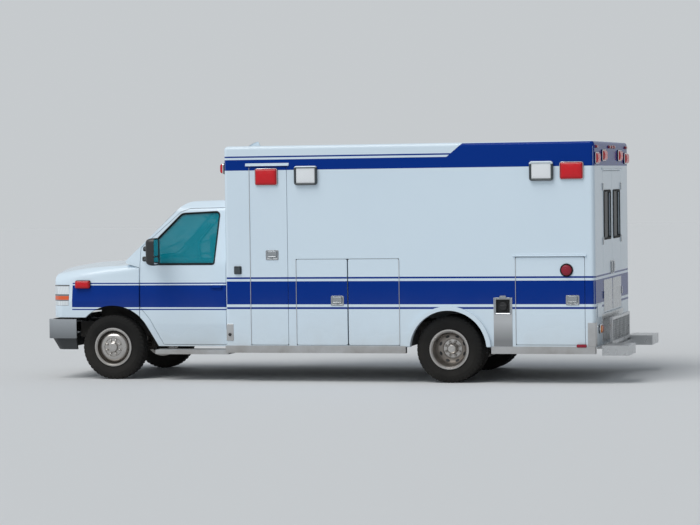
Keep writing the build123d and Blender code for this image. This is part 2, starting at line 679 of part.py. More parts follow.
# Cabinets: lockers open to the outside doors, a counter, a bench and wall cupboards
LOCKER_Y = 713.0
skin = COMPARTMENT_SKIN
with BuildPart() as module_cabinets:
    for side, openings in ((1, LEFT_OPENINGS), (-1, RIGHT_OPENINGS)):
        for name, (front, back, bottom, top) in openings.items():
            if name == "entry":
                continue
            outer_x = (front + skin, back - skin)
            depth = (side * LOCKER_Y, side * 1155)
            block(outer_x, depth, (bottom - skin, top + skin))
            inner_y = (side * (LOCKER_Y + skin), side * 1156)
            block((front, back), inner_y, (bottom, top), Mode.SUBTRACT)
    block((-3484, -4746), (LOCKER_Y, 1155), (1380, 1400))
    block((-3484, -4746), (LOCKER_Y, LOCKER_Y + skin), (FLOOR_TOP, 1380))
    block((-2255, -5556), (800, 1155), (1850, 2412))
    block((-2267, -3900), (790, 1156), (1862, 2400), Mode.SUBTRACT)
    block((-3912, -5544), (790, 1156), (1862, 2400), Mode.SUBTRACT)
    block((-3100, -4756), (-1155, -640), (1170, 1190))
    block((-3100, -4756), (-652, -640), (FLOOR_TOP, 1170))
    block((-3112, -3100), (-1155, -640), (FLOOR_TOP, 1190))
    block(WHEEL_BOX, (-1160, 1160), (400, WHEEL_BOX_TOP), Mode.SUBTRACT)
save(module_cabinets.part, "module_cabinets")


def flush_door(opening, side, name):
    """A plain door in a side wall, flush with the body's skin, with a seam all round."""
    front, back, bottom, top = opening
    with BuildPart() as door:
        width = (side * (HALF_W - WALL + 2), side * HALF_W)
        block((front - SEAM, back + SEAM), width, (bottom + SEAM, top - SEAM))
        fillet(door.edges().filter_by(Axis.Y), 18)
        if name == "entry_door":
            block(ENTRY_WINDOW_X, (side * 1100, side * 1300), ENTRY_WINDOW_Z, Mode.SUBTRACT)
    save(door.part, name)


front, back, bottom, top = LEFT_OPENINGS["double"]
flush_door(LEFT_OPENINGS["tall"], 1, "tall_door")
flush_door((front, DOUBLE_SPLIT - SEAM / 2 + SEAM, bottom, top), 1, "locker_door_front")
flush_door((DOUBLE_SPLIT + SEAM / 2 - SEAM, back, bottom, top), 1, "locker_door_rear")
flush_door(LEFT_OPENINGS["rear"], 1, "rear_locker_door_left")
flush_door(RIGHT_OPENINGS["rear"], -1, "rear_locker_door_right")
flush_door(ENTRY, -1, "entry_door")
with BuildPart() as entry_glass:
    x = (ENTRY_WINDOW_X[0] - 1, ENTRY_WINDOW_X[1] + 1)
    block(x, (-HALF_W + 16, -HALF_W + 10), (ENTRY_WINDOW_Z[0] + 1, ENTRY_WINDOW_Z[1] - 1))
save(entry_glass.part, "entry_glass")

# Rear doors and their panes
REAR_WINDOW_Y = (115.0, 545.0)
REAR_WINDOW_Z = (1585.0, 2090.0)
for side, word in ((1, "left"), (-1, "right")):
    with BuildPart() as rear_door:
        width = (side * SEAM / 2, side * (REAR_DOOR_HALF_W - SEAM))
        block((MODULE_BACK, MODULE_BACK + WALL - 2), width, (REAR_DOOR_Z[0] + SEAM, REAR_DOOR_Z[1] - SEAM))
        fillet(rear_door.edges().filter_by(Axis.X), 15)
        y = (side * REAR_WINDOW_Y[0], side * REAR_WINDOW_Y[1])
        block((MODULE_BACK - 10, MODULE_BACK + 100), y, REAR_WINDOW_Z, Mode.SUBTRACT)
    save(rear_door.part, f"rear_door_{word}")
    with BuildPart() as rear_glass:
        y = (side * (REAR_WINDOW_Y[0] + 1), side * (REAR_WINDOW_Y[1] - 1))
        block((MODULE_BACK + 10, MODULE_BACK + 16), y, (REAR_WINDOW_Z[0] + 1, REAR_WINDOW_Z[1] - 1))
    save(rear_glass.part, f"rear_door_glass_{word}")

# Lights on the body: name, then places from the front axle, heights, sizes, on both sides
SIDE_SCENE = {
    1: [(-2399, 2320, 265, 215), (-5074, 2335, 265, 215)],
    -1: [(-1860, 2335, 265, 215), (-5074, 2335, 265, 215)],
}
SIDE_WARNING = [(-5409, 2335, 270, 200)]
LAMP_DEPTH = 38.0
END_LAMPS = [(1035, 2410, 250, 130), (560, 2440, 250, 130)]
with BuildPart() as warning_lights:
    for side in (1, -1):
        skin_y = (side * HALF_W, side * (HALF_W + LAMP_DEPTH))
        for place, z, length, height in SIDE_WARNING:
            block((place - length / 2, place + length / 2), skin_y, (z - height / 2, z + height / 2))
        for y, z, width, height in END_LAMPS:
            span = (side * (y - width / 2), side * (y + width / 2))
            block((MODULE_FRONT, MODULE_FRONT + 75), span, (z - height / 2, z + height / 2))
            block((MODULE_BACK, MODULE_BACK - LAMP_DEPTH), span, (z - height / 2 + 60, z + height / 2 + 60))
        block((274, 455), (side * 900, side * 1012), (1049, 1141))
    add(nose, mode=Mode.SUBTRACT)
save(warning_lights.part, "warning_lights")
with BuildPart() as scene_lights:
    for side in (1, -1):
        skin_y = (side * HALF_W, side * (HALF_W + LAMP_DEPTH))
        for place, z, length, height in SIDE_SCENE[side]:
            block((place - length / 2, place + length / 2), skin_y, (z - height / 2, z + height / 2))
save(scene_lights.part, "scene_lights")
with BuildPart() as tall_door_light:
    block((-1802, -2072), (HALF_W, HALF_W + LAMP_DEPTH), (2210, 2410))
save(tall_door_light.part, "tall_door_light")
with BuildPart() as tail_lights:
    for side in (1, -1):
        block((MODULE_BACK, MODULE_BACK - 30), (side * 800, side * 1000), (540, 640))
save(tail_lights.part, "tail_lights")

# Rub rails along the bottom edges and running boards under the cab doors
RUB_Z = (330.0, 410.0)
with BuildPart() as skirt_trim:
    for side in (1, -1):
        for reach in ((MODULE_FRONT, REAR + 485), (REAR - 485, MODULE_BACK)):
            block(reach, (side * HALF_W, side * (HALF_W + 22)), RUB_Z)
            block(reach, (side * (HALF_W - WALL), side * HALF_W), (RUB_Z[0], WALL_BOTTOM))
        block((CAB_BACK, -560), (side * 870, side * 1120), (303, 353))
        block((CAB_BACK, -1380), (side * 820, side * 870), (320, CAB_BOTTOM))
        block((-700, -640), (side * 820, side * 870), (320, CAB_BOTTOM))
save(skirt_trim.part, "skirt_trim")

# Flares round the rear wheel arches
with BuildPart() as wheel_flares:
    for side in (1, -1):
        cross_cylinder(REAR, TYRE_R, 482, (side * HALF_W, side * (HALF_W + 40)))
        cross_cylinder(REAR, TYRE_R, REAR_ARCH_R, (side * 1100, side * 1300), Mode.SUBTRACT)
        block((REAR - 600, REAR + 600), (side * 1100, side * 1300), (-200, 410), Mode.SUBTRACT)
save(wheel_flares.part, "wheel_flares")

# Rear bumper: two plated ends and a low beam between them, and the folding step
BUMPER_BACK = FRONT_OVERHANG - LENGTH
BUMPER_FRONT = MODULE_BACK - 60
with BuildPart() as rear_bumper:
    for side in (1, -1):
        block((BUMPER_FRONT, BUMPER_BACK), (side * 655, side * 1150), (310, 420))
        block((RAIL_ENDS[0] + 60, BUMPER_FRONT), (side * 366, side * 422), (335, 395))
        block((RAIL_ENDS[0] + 60, RAIL_ENDS[0] + 10), (side * 366, side * 422), (395, RAIL_Z[0]))
    block((BUMPER_FRONT, BUMPER_FRONT - 60), (-655, 655), (310, 380))
save(rear_bumper.part, "rear_bumper")
with BuildPart() as flip_step:
    block((-5722, -5752), (-640, 640), (400, 700))
    for y in range(-600, 600, 100):
        block((-5700, -5800), (y + 12, y + 88), (435, 670), Mode.SUBTRACT)
save(flip_step.part, "flip_step")

# Fuel filler: a bright panel with a cup behind the opening
front, back, bottom, top = FILLER
with BuildPart() as fuel_filler:
    block((-4525, -4733), (HALF_W, HALF_W + 4), (412, 948))
    block((front, back), (1100, 1300), (bottom, top), Mode.SUBTRACT)
    block((front - 1, back + 1), (1160, HALF_W), (bottom + 1, top - 1))
    block((front - 6, back + 6), (1170, 1300), (bottom + 6, top - 6), Mode.SUBTRACT)
    cross_cylinder(-4629, 855, 45, (1165, 1195))
save(fuel_filler.part, "fuel_filler")
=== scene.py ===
# %% [markdown]
# # A box-body ambulance
# The solid model comes in as a fixed frame: every door, wheel and wall is already in its place, in metres,
# with X forward, Y to the left and Z up. This lesson dresses it: paint with its stripes, glass, lamps, tyres
# with their tread, handles and seals, and the seats inside.

# %% Load the frame
import json
import math

import bmesh
import bpy
import numpy as np
from mathutils import Matrix, Vector
from mathutils.bvhtree import BVHTree

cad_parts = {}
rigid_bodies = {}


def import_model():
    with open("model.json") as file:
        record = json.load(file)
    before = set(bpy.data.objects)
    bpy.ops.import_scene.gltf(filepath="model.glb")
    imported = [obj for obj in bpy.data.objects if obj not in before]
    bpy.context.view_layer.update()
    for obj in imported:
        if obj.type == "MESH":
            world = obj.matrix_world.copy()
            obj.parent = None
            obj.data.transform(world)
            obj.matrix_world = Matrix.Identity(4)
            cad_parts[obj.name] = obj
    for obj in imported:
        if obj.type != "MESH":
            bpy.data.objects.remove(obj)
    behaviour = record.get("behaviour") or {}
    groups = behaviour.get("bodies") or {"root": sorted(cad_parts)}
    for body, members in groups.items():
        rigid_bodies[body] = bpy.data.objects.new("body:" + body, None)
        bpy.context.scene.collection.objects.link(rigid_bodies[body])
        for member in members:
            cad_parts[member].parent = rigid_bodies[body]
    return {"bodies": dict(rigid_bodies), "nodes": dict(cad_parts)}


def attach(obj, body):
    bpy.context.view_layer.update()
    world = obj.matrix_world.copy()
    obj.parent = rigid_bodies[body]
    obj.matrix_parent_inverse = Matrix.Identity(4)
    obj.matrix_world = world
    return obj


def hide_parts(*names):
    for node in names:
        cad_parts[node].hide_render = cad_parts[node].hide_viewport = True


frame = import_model()
nodes, bodies = frame["nodes"], frame["bodies"]
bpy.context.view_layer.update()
FRONT_AXLE, WHEELBASE, AXLE_Z, HALF_W = 2.590, 4.013, 0.372, 1.205
REAR_AXLE = FRONT_AXLE - WHEELBASE
TAU = 2 * math.pi


def at(place):
    """X of a place given from the front axle, forward positive: both in metres."""
    return FRONT_AXLE + place


def added(name, data):
    """A new object in the scene."""
    made = bpy.data.objects.new(name, data)
    bpy.context.scene.collection.objects.link(made)
    return made


FRONT, BACK = at(-1.435), at(-5.655)

# %% [markdown]
# ## The camera first
# The photograph was taken from far away with a long lens, level with the roof, from the left and a little
# behind. A camera that stands in the same place and looks the same way gives the same view. The frame is
# only drawn tighter round the vehicle, as a crop of the photograph would be.

# %% Camera
PHOTO_FOCAL, PHOTO_WIDTH, ZOOM = 1205.04, 700.0, 2.14
MIDDLE_PX = (-54.0, -146.0)
EYE = np.array([at(-10.289), 29.254, 2.293])
YAW, PITCH, ROLL = 0.2111, 0.0870, -0.0175

ahead = np.array([math.sin(YAW), -math.cos(YAW), 0.0])
right = np.array([-math.cos(YAW), -math.sin(YAW), 0.0])
ahead_up = math.cos(PITCH) * ahead + math.sin(PITCH) * np.array([0, 0, 1.0])
up = -math.sin(PITCH) * ahead + math.cos(PITCH) * np.array([0, 0, 1.0])
right_rolled = math.cos(ROLL) * right + math.sin(ROLL) * up
up_rolled = -math.sin(ROLL) * right + math.cos(ROLL) * up
look = PHOTO_FOCAL * ahead_up + MIDDLE_PX[0] * right_rolled + MIDDLE_PX[1] * up_rolled
reach = float(np.linalg.norm(look))
look = look / reach
side = np.cross(look, up_rolled)
side /= np.linalg.norm(side)
head = np.cross(side, look)

camera_data = bpy.data.cameras.new("photo_camera")
camera = added("photo_camera", camera_data)
camera.matrix_world = Matrix([[side[i], head[i], -look[i], EYE[i]] for i in range(3)] + [[0, 0, 0, 1]])
camera_data.sensor_width = 36.0
camera_data.lens = 36.0 * reach * ZOOM / PHOTO_WIDTH
camera_data.clip_end = 400.0
bpy.context.scene.camera = camera
print("camera lens", round(camera_data.lens, 1), "mm at", np.round(EYE, 2))

# %% [markdown]
# ## Materials as arithmetic
# A material is a small calculation on the place of each point. Writing every step as a node takes many
# lines, so a signal stands for a node's output here, and sums, products and comparisons of signals add
# the Math nodes by themselves.


# %% Node helpers
class Signal:
    """A number or colour on its way through the nodes. a + b, a * b, a > b and the like add a Math node,
    and a | b is the larger of the two."""

    def __init__(self, tree, socket):
        self.tree, self.socket = tree, socket

    def math(self, operation, *values):
        made = self.tree.nodes.new("ShaderNodeMath")
        made.operation = operation
        for slot, value in zip(made.inputs, values):
            put(slot, value)
        return Signal(self.tree, made.outputs[0])


def put(slot, value):
    """Links a signal to a node's input, or sets a constant there."""
    if isinstance(value, Signal):
        value.tree.links.new(value.socket, slot)
    else:
        slot.default_value = (*value, 1.0) if slot.type == "RGBA" else value


OPERATORS = {"add": "ADD", "sub": "SUBTRACT", "mul": "MULTIPLY", "pow": "POWER", "or": "MAXIMUM",
             "gt": "GREATER_THAN", "lt": "LESS_THAN"}
for word, operation in OPERATORS.items():
    setattr(Signal, f"__{word}__", lambda a, b, operation=operation: a.math(operation, a, b))
Signal.__radd__, Signal.__rmul__ = Signal.__add__, Signal.__mul__
Signal.__rsub__ = lambda a, b: a.math("SUBTRACT", b, a)
Signal.__abs__ = lambda a: a.math("ABSOLUTE", a)


def started(name):
    """A new material, and the Object coordinates, which are the vehicle's own frame on every piece."""
    material = bpy.data.materials.new(name)
    material.use_nodes = True
    tree = material.node_tree
    tree.nodes.clear()
    place = tree.nodes.new("ShaderNodeTexCoord").outputs["Object"]
    split = tree.nodes.new("ShaderNodeSeparateXYZ")
    tree.links.new(place, split.inputs[0])
    return material, *(Signal(tree, socket) for socket in split.outputs), Signal(tree, place)


def mixed(share, a, b):
    """Colour a where share is 0 and b where it is 1."""
    made = share.tree.nodes.new("ShaderNodeMix")
    made.data_type = "RGBA"
    for slot, value in zip((0, 6, 7), (share, a, b)):
        put(made.inputs[slot], value)
    return Signal(share.tree, made.outputs[2])


def noise(place, scale, detail=4.0):
    """Cloudy noise at so many cells a metre."""
    made = place.tree.nodes.new("ShaderNodeTexNoise")
    for name, value in (("Vector", place), ("Scale", scale), ("Detail", detail), ("Roughness", 0.55)):
        put(made.inputs[name], value)
    return Signal(place.tree, made.outputs["Fac"])


def ramp(value, low, high, start=0.0, end=1.0):
    """Carries the range low to high onto start to end, held at both ends."""
    made = value.tree.nodes.new("ShaderNodeMapRange")
    made.clamp = True
    for slot, number in zip(made.inputs, (value, low, high, start, end)):
        put(slot, number)
    return Signal(value.tree, made.outputs[0])


def band(value, low, high, soft=0.002):
    """1 between low and high, 0 outside, with edges as wide as soft."""
    half = soft / 2
    return ramp(value, low - half, low + half) * ramp(value, high - half, high + half, 1.0, 0.0)


def surface(material, colour, rough, metallic=0.0, bump=None, depth=0.001, **sockets):
    """The shader at the end of a material, with its bump in metres."""
    tree = material.node_tree
    shader = tree.nodes.new("ShaderNodeBsdfPrincipled")
    for name, value in {"Base_Color": colour, "Roughness": rough, "Metallic": metallic, **sockets}.items():
        put(shader.inputs[name.replace("_", " ")], value)
    if bump is not None:
        raised = tree.nodes.new("ShaderNodeBump")
        for name, value in (("Distance", depth), ("Strength", 1.0), ("Height", bump)):
            put(raised.inputs[name], value)
        tree.links.new(raised.outputs[0], shader.inputs["Normal"])
    out = tree.nodes.new("ShaderNodeOutputMaterial")
    tree.links.new(shader.outputs[0], out.inputs[0])
    return material


# %% [markdown]
# ## Floor and light
# White paint shows its form only by soft shading, so the light is a wide bright sky with one large lamp
# high on the camera's side. The sky is darker for what the lamps light than for what the camera sees, and
# the floor is a plain pale plane that keeps the vehicle's shadow.

# %% World, lamps and floor
world = bpy.data.worlds.new("studio")
bpy.context.scene.world = world
world.use_nodes = True
sky = world.node_tree
sky.nodes.clear()
rays = sky.nodes.new("ShaderNodeLightPath").outputs
by_camera, through_glass, in_mirror = (Signal(sky, rays[f"Is {kind} Ray"])
                                       for kind in ("Camera", "Transmission", "Glossy"))
glow = sky.nodes.new("ShaderNodeBackground")
put(glow.inputs[0], mixed(by_camera + through_glass + in_mirror, (0.27, 0.295, 0.32), (0.566, 0.592, 0.611)))
sky_out = sky.nodes.new("ShaderNodeOutputWorld")
sky.links.new(glow.outputs[0], sky_out.inputs[0])

for name, place, strength, softness, colour, in_chrome in (
        ("high_sun", (0.35, 0.50, 1.0), 1.90, 40.0, (1.0, 0.99, 0.97), True),
        ("low_fill", (0.50, 1.0, 0.25), 0.66, 60.0, (0.84, 0.95, 1.0), False)):
    data = bpy.data.lights.new(name, "SUN")
    data.energy, data.angle, data.color = strength, math.radians(softness), colour
    lamp = added(name, data)
    lamp.matrix_world = Vector(place).to_track_quat("Z", "Y").to_matrix().to_4x4()
    lamp.visible_glossy = in_chrome

bpy.context.scene.view_settings.view_transform = "Standard"
floor_mesh = bpy.data.meshes.new("floor")
floor_mesh.from_pydata([(-90, -90, 0), (90, -90, 0), (90, 90, 0), (-90, 90, 0)], [], [(0, 1, 2, 3)])
floor_mesh.materials.append(surface(started("floor_paint")[0], (0.66, 0.67, 0.68), 0.75))
added("floor", floor_mesh)
print("floor and", len(bpy.data.lights), "lamps")

# %% [markdown]
# ## Paint with its stripes
# The stripes on such a vehicle are cut from coloured film and run straight over seams and doors. As the
# Object coordinates of every panel are the vehicle's own frame, one paint can draw them by height and
# place alone, and they line up over all panels, also when a door swings, because the paint is fixed to
# the panel at rest. Only faces on the outer skin get the film: the inner faces stay white.

# %% Body paint
FILM_BLUE = (0.0006, 0.030, 0.235)
# The white paint's blue cast is painted sky light; the paint itself is a plain white.
SKY_TINTED_WHITE, SKY_TINTED_WHITE_PATCH = (0.665, 0.765, 0.845), (0.645, 0.745, 0.830)
ROOF_BAND_Z = 2.385
SLANT_X, SLANT_Z, SLANT_RUN = at(-4.032), 2.521, 1.208


def dust(z, place):
    """Road dust: thick near the ground, gone a metre up, broken by noise."""
    return ramp(z, 0.30, 1.15, 1.0, 0.0) ** 2.2 * (0.35 + ramp(noise(place, 2.3, 6.0), 0.35, 0.75))


def module_film(x, y, z):
    """Roof band with its slanted step, and the stripe between two thin lines along the sides."""
    fore = x > FRONT - 0.012
    skin = (abs(y) > HALF_W - 0.012) | (x < BACK + 0.012) | fore | (z > 2.60)
    forward = x > SLANT_X - (z - SLANT_Z) * SLANT_RUN
    front_part = band(z, ROOF_BAND_Z, 2.505) | band(z, 2.528, 2.545)
    top = forward * front_part + (1.0 - forward) * band(z, ROOF_BAND_Z, 2.652)
    stripes = band(z, 0.875, 1.135) | band(z, 1.162, 1.182) | band(z, 0.822, 0.845)
    return skin * (top | stripes * (1.0 - fore))


def cab_film(x, y, z):
    """The same stripe on the doors and wings of the cab, behind the headlamps."""
    stripes = band(z, 0.832, 1.085) | band(z, 1.100, 1.114) | band(z, 0.800, 0.814)
    return (abs(y) > 0.94) * (x < at(0.50)) * stripes


def body_paint(name, film_of=None):
    """Gloss white with a trace of orange peel and dust, and with the duller blue film where one is. The
    white's blue cast is painted sky light.
    """
    material, x, y, z, place = started(name)
    colour = mixed(ramp(noise(place, 0.9, 3.0), 0.3, 0.7), SKY_TINTED_WHITE, SKY_TINTED_WHITE_PATCH)
    gloss, coat = 0.25, 0.15
    if film_of:
        film = film_of(x, y, z)
        colour = mixed(film, colour, FILM_BLUE)
        gloss, coat = ramp(film, 0.0, 1.0, gloss, 0.06), ramp(film, 0.0, 1.0, coat, 0.05)
    dirt = dust(z, place) * 0.35
    return surface(material, mixed(dirt, colour, (0.42, 0.38, 0.33)), ramp(dirt, 0.0, 0.35, 0.16, 0.5),
                   bump=noise(place, 260.0, 2.0), depth=0.00006, Coat_Weight=coat, Coat_Roughness=0.06,
                   Specular_IOR_Level=gloss)


paint_module = body_paint("paint_module", module_film)
paint_cab = body_paint("paint_cab", cab_film)
paint_plain = body_paint("paint_plain")
print("paints made:", paint_module.name, paint_cab.name, paint_plain.name)

# %% [markdown]
# ## Metals, plastics, glass and rubber
# Each material is built from what the eye sees on the real one: brushed lines on steel, fine smudges on
# chrome, ribs inside a lamp's lens, raised lozenges on tread plate, dust on rubber. Everything reads the
# Object coordinates, so the grain has one true scale on all pieces.


# %% Metals
def metal(name, colour, rough, spread=0.08, grain=None, dirty=0.0):
    """A bare metal whose roughness wanders; grain stretches the noise along one axis."""
    material, x, y, z, place = started(name)
    wander = noise(place, 9.0, 5.0)
    if grain is None:
        lines = noise(place, 90.0, 3.0)
    else:
        stretch = material.node_tree.nodes.new("ShaderNodeMapping")
        put(stretch.inputs["Scale"], grain)
        put(stretch.inputs["Vector"], place)
        lines = noise(Signal(place.tree, stretch.outputs[0]), 1.0, 3.0)
    roughness = ramp(wander, 0.3, 0.7, rough, rough + spread) + ramp(lines, 0.3, 0.7, 0.0, spread / 2)
    shade = mixed(ramp(wander, 0.25, 0.75), colour, tuple(c * 0.9 for c in colour))
    if dirty:
        dirt = dust(z, place) * dirty
        shade = mixed(dirt, shade, (0.20, 0.17, 0.14))
        roughness = roughness + dirt * 0.4
    return surface(material, shade, roughness, metallic=1.0, bump=lines, depth=0.00008)


chrome = metal("bright_chrome", (0.82, 0.83, 0.85), 0.05, 0.05)
satin = metal("satin_chrome", (0.42, 0.44, 0.46), 0.16, 0.08)
steel = metal("wheel_steel", (0.60, 0.58, 0.56), 0.16, 0.10, dirty=0.30)
# The rear dish's darker steel is painted shade, with road dust over it.
shaded_dish_steel = metal("shaded_dish_steel", (0.34, 0.31, 0.285), 0.28, 0.12, dirty=0.4)
brushed = metal("brushed_steel", (0.60, 0.61, 0.62), 0.30, 0.08, grain=(6.0, 6.0, 220.0))
rail_metal = metal("rail_aluminium", (0.62, 0.63, 0.64), 0.32, 0.10, grain=(4.0, 160.0, 160.0), dirty=0.5)
iron = metal("axle_iron", (0.10, 0.095, 0.09), 0.55, 0.15, dirty=0.6)


def tread_plate(name):
    """Aluminium plate with raised lozenges: two sets of short bars that lean left and right, one in each
    square of a 25 mm chequer. A bar is where the distance along and across it, scaled, is under one."""
    material, x, y, z, place = started(name)
    bars = []
    for lean, shift in ((1.0, 0.0), (-1.0, 0.5)):
        u, v = (value.math("FRACT", value * 40.0 + shift) - 0.5 for value in (y, x + z))
        along, across = (u + v * lean) * 1.5, (u - v * lean) * 5.0
        bars.append(ramp(along * along + across * across, 0.3, 0.8, 1.0, 0.0))
    height = bars[0] | bars[1]
    colour, rough = mixed(height, (0.50, 0.51, 0.52), (0.66, 0.67, 0.68)), noise(place, 14.0, 5.0)
    return surface(material, colour, ramp(rough, 0.3, 0.7, 0.22, 0.40), metallic=1.0, bump=height,
                   depth=0.0012)


def two_tone(name, split, lower_colour, upper_colour, lower_rough, upper_rough, axis=2):
    """Bright metal above a height, or outside a place, and dull plastic below or behind it. The metal is
    painted darker towards the bottom, a painted reflection of the ground.
    """
    material, *xyz, place = started(name)
    above = abs(xyz[axis]) > split
    # Painted reflection: the bright metal is darkened to half from 0.68 m down to 0.47 m, as chrome
    # reflecting the ground.
    ground_reflection_shade = mixed(ramp(xyz[2], 0.470, 0.680), tuple(c * 0.5 for c in upper_colour), upper_colour)
    wander = ramp(noise(place, 7.0, 5.0), 0.3, 0.7, 0.0, 0.08)
    rough = lower_rough + above * (upper_rough - lower_rough) + wander
    return surface(material, mixed(above, lower_colour, ground_reflection_shade), rough, metallic=above)


plate_metal = tread_plate("tread_plate")
bumper_metal = two_tone("bumper_chrome", 0.4722, (0.035, 0.037, 0.04), (0.44, 0.465, 0.49), 0.5, 0.07)
filler_metal = two_tone("filler_metal", 1.2035, (0.02, 0.02, 0.02), (0.60, 0.61, 0.62), 0.6, 0.30, axis=1)
mirror_silver = surface(started("mirror_silver")[0], (0.80, 0.82, 0.84), 0.02, metallic=1.0)
print("metals:", len(bpy.data.materials), "materials so far")


# %% Plastics and rubber
def plastic(name, colour, rough, grain=420.0, depth=0.0001, dusty=0.0, **sockets):
    """Moulded plastic, rubber or cloth: an even colour with a pebble grain and some dust."""
    material, x, y, z, place = started(name)
    shade = mixed(ramp(noise(place, 5.0, 5.0), 0.3, 0.7), colour, tuple(c * 1.25 + 0.001 for c in colour))
    if dusty:
        shade = mixed(dust(z, place) * dusty, shade, (0.24, 0.21, 0.18))
    return surface(material, shade, rough, bump=noise(place, grain, 2.0), depth=depth, **sockets)


black_trim = plastic("black_trim", (0.018, 0.018, 0.019), 0.42)
dark_bezel = plastic("dark_bezel", (0.045, 0.055, 0.06), 0.30)
rubber = plastic("seal_rubber", (0.010, 0.010, 0.010), 0.7, Specular_IOR_Level=0.2)
dark_under = plastic("under_black", (0.02, 0.02, 0.02), 0.7, dusty=0.5)
grey_trim = plastic("grey_trim", (0.23, 0.235, 0.24), 0.5, grain=300.0)
floor_vinyl = plastic("floor_vinyl", (0.20, 0.21, 0.22), 0.55, grain=60.0)
tyre_rubber = plastic("tyre_rubber", (0.007, 0.007, 0.007), 0.80, grain=160.0, depth=0.0002, dusty=0.06,
                      Specular_IOR_Level=0.2)
seat_cloth = plastic("seat_cloth", (0.11, 0.115, 0.125), 0.92, grain=900.0, depth=0.0006)


def cupboard_finish(name):
    """White laminate, with blue-grey vinyl on the squad bench's top."""
    material, x, y, z, place = started(name)
    bench = (y < -0.62) * band(z, 1.168, 1.195)
    speckle = ramp(noise(place, 300.0, 2.0), 0.3, 0.7)
    white = mixed(speckle, (0.66, 0.66, 0.63), (0.74, 0.74, 0.71))
    vinyl = mixed(speckle, (0.060, 0.075, 0.105), (0.085, 0.100, 0.130))
    return surface(material, mixed(bench, white, vinyl), 0.32 + bench * 0.2, bump=noise(place, 240.0, 3.0),
                   depth=0.00015)


def hooded_frame(name):
    """The frame of a scene lamp: dark plastic, with a white hood along its upper edge."""
    material, x, y, z, place = started(name)
    shade = mixed(z > 2.412, (0.045, 0.055, 0.060), (0.66, 0.73, 0.78))
    return surface(material, shade, ramp(noise(place, 40.0, 3.0), 0.3, 0.7, 0.26, 0.38))


cabinet_white = cupboard_finish("cupboard_laminate")
lamp_frame = hooded_frame("scene_lamp_frame")


# %% Lamps and glass
def lens(name, colour, ribs, shine=0.10):
    """A moulded lens: fine ribs inside clear coloured plastic, and painted shade where the face turns away.
    """
    material, x, y, z, place = started(name)
    wave, rows = (value.math("SINE", value * (ribs * TAU)) for value in (x + y, z))
    shape = wave * rows
    shade = mixed(ramp(shape, -1.0, 1.0), tuple(c * 0.72 for c in colour), colour)
    facing = material.node_tree.nodes.new("ShaderNodeSeparateXYZ")
    normal = material.node_tree.nodes.new("ShaderNodeNewGeometry").outputs["Normal"]
    put(facing.inputs[0], Signal(place.tree, normal))
    flat = abs(Signal(place.tree, facing.outputs[0])) | abs(Signal(place.tree, facing.outputs[1]))
    # Painted shade: the colour drops to half where the face turns away from straight out, as on the bowed rim
    # of a lit lens.
    shade = mixed(ramp(flat, 0.80, 0.995), tuple(c * 0.50 for c in colour), shade)
    return surface(material, shade, 0.16, bump=shape, depth=0.0006, Coat_Weight=0.3, Coat_Roughness=0.04,
                   Specular_IOR_Level=0.3, Emission_Color=colour, Emission_Strength=shine)


red_lens = lens("red_lens", (0.62, 0.004, 0.012), 70.0)
marker_red = lens("marker_red", (0.32, 0.008, 0.030), 90.0, 0.0)
clear_lens = lens("clear_lens", (0.80, 0.82, 0.84), 60.0)
amber_lens = lens("amber_lens", (0.75, 0.22, 0.02), 70.0)


def glass(name, colour, alpha, gloss=0.8):
    """Tinted pane: see-through glass with a clean gloss and faint wipe marks."""
    material, x, y, z, place = started(name)
    return surface(material, colour, ramp(noise(place, 3.0, 6.0), 0.35, 0.75, 0.02, 0.07), Alpha=alpha,
                   Specular_IOR_Level=gloss)


cab_glass = glass("cab_glass", (0.004, 0.290, 0.370), 0.54, gloss=0.3)
dark_glass = glass("dark_glass", (0.004, 0.005, 0.006), 0.94, gloss=0.02)
lamp_glass = glass("lamp_glass", (0.75, 0.78, 0.80), 0.25)


def headlamp_lens(name):
    """The wrap-round lamp by height: clear fluted top, dark line, amber strip, dark line, clear below. In
    front, a clear pane in a dark frame covers it."""
    material, x, y, z, place = started(name)
    flute = x.math("SINE", (x + y) * (55.0 * TAU))
    clear = mixed(ramp(flute, -1.0, 1.0), (0.62, 0.66, 0.69), (0.74, 0.78, 0.81))
    shade = mixed(band(z, 0.918, 0.962), clear, (0.72, 0.10, 0.02))
    lines = band(z, 0.962, 0.982) | band(z, 0.905, 0.918) | band(z, 1.074, 1.10)
    shade = mixed(lines, shade, (0.16, 0.17, 0.18))
    unit, inner = (band(abs(y), 0.612 + edge, 0.850 - edge) * band(z, 0.880 + edge, 1.060 - edge)
                   * (x > at(0.700)) for edge in (0.0, 0.010))
    shade = mixed(inner, mixed(unit, shade, (0.10, 0.11, 0.12)), clear)
    return surface(material, shade, 0.10, bump=flute, depth=0.0003, Coat_Weight=0.4, Coat_Roughness=0.03)


headlamp = headlamp_lens("headlamp_lens")
print(len(bpy.data.materials), "materials")

# %% [markdown]
# ## Materials onto the solid pieces
# The solid pieces whose shape is already right only need their finish. A table says which finish each
# one takes. Their meshes stay untouched.

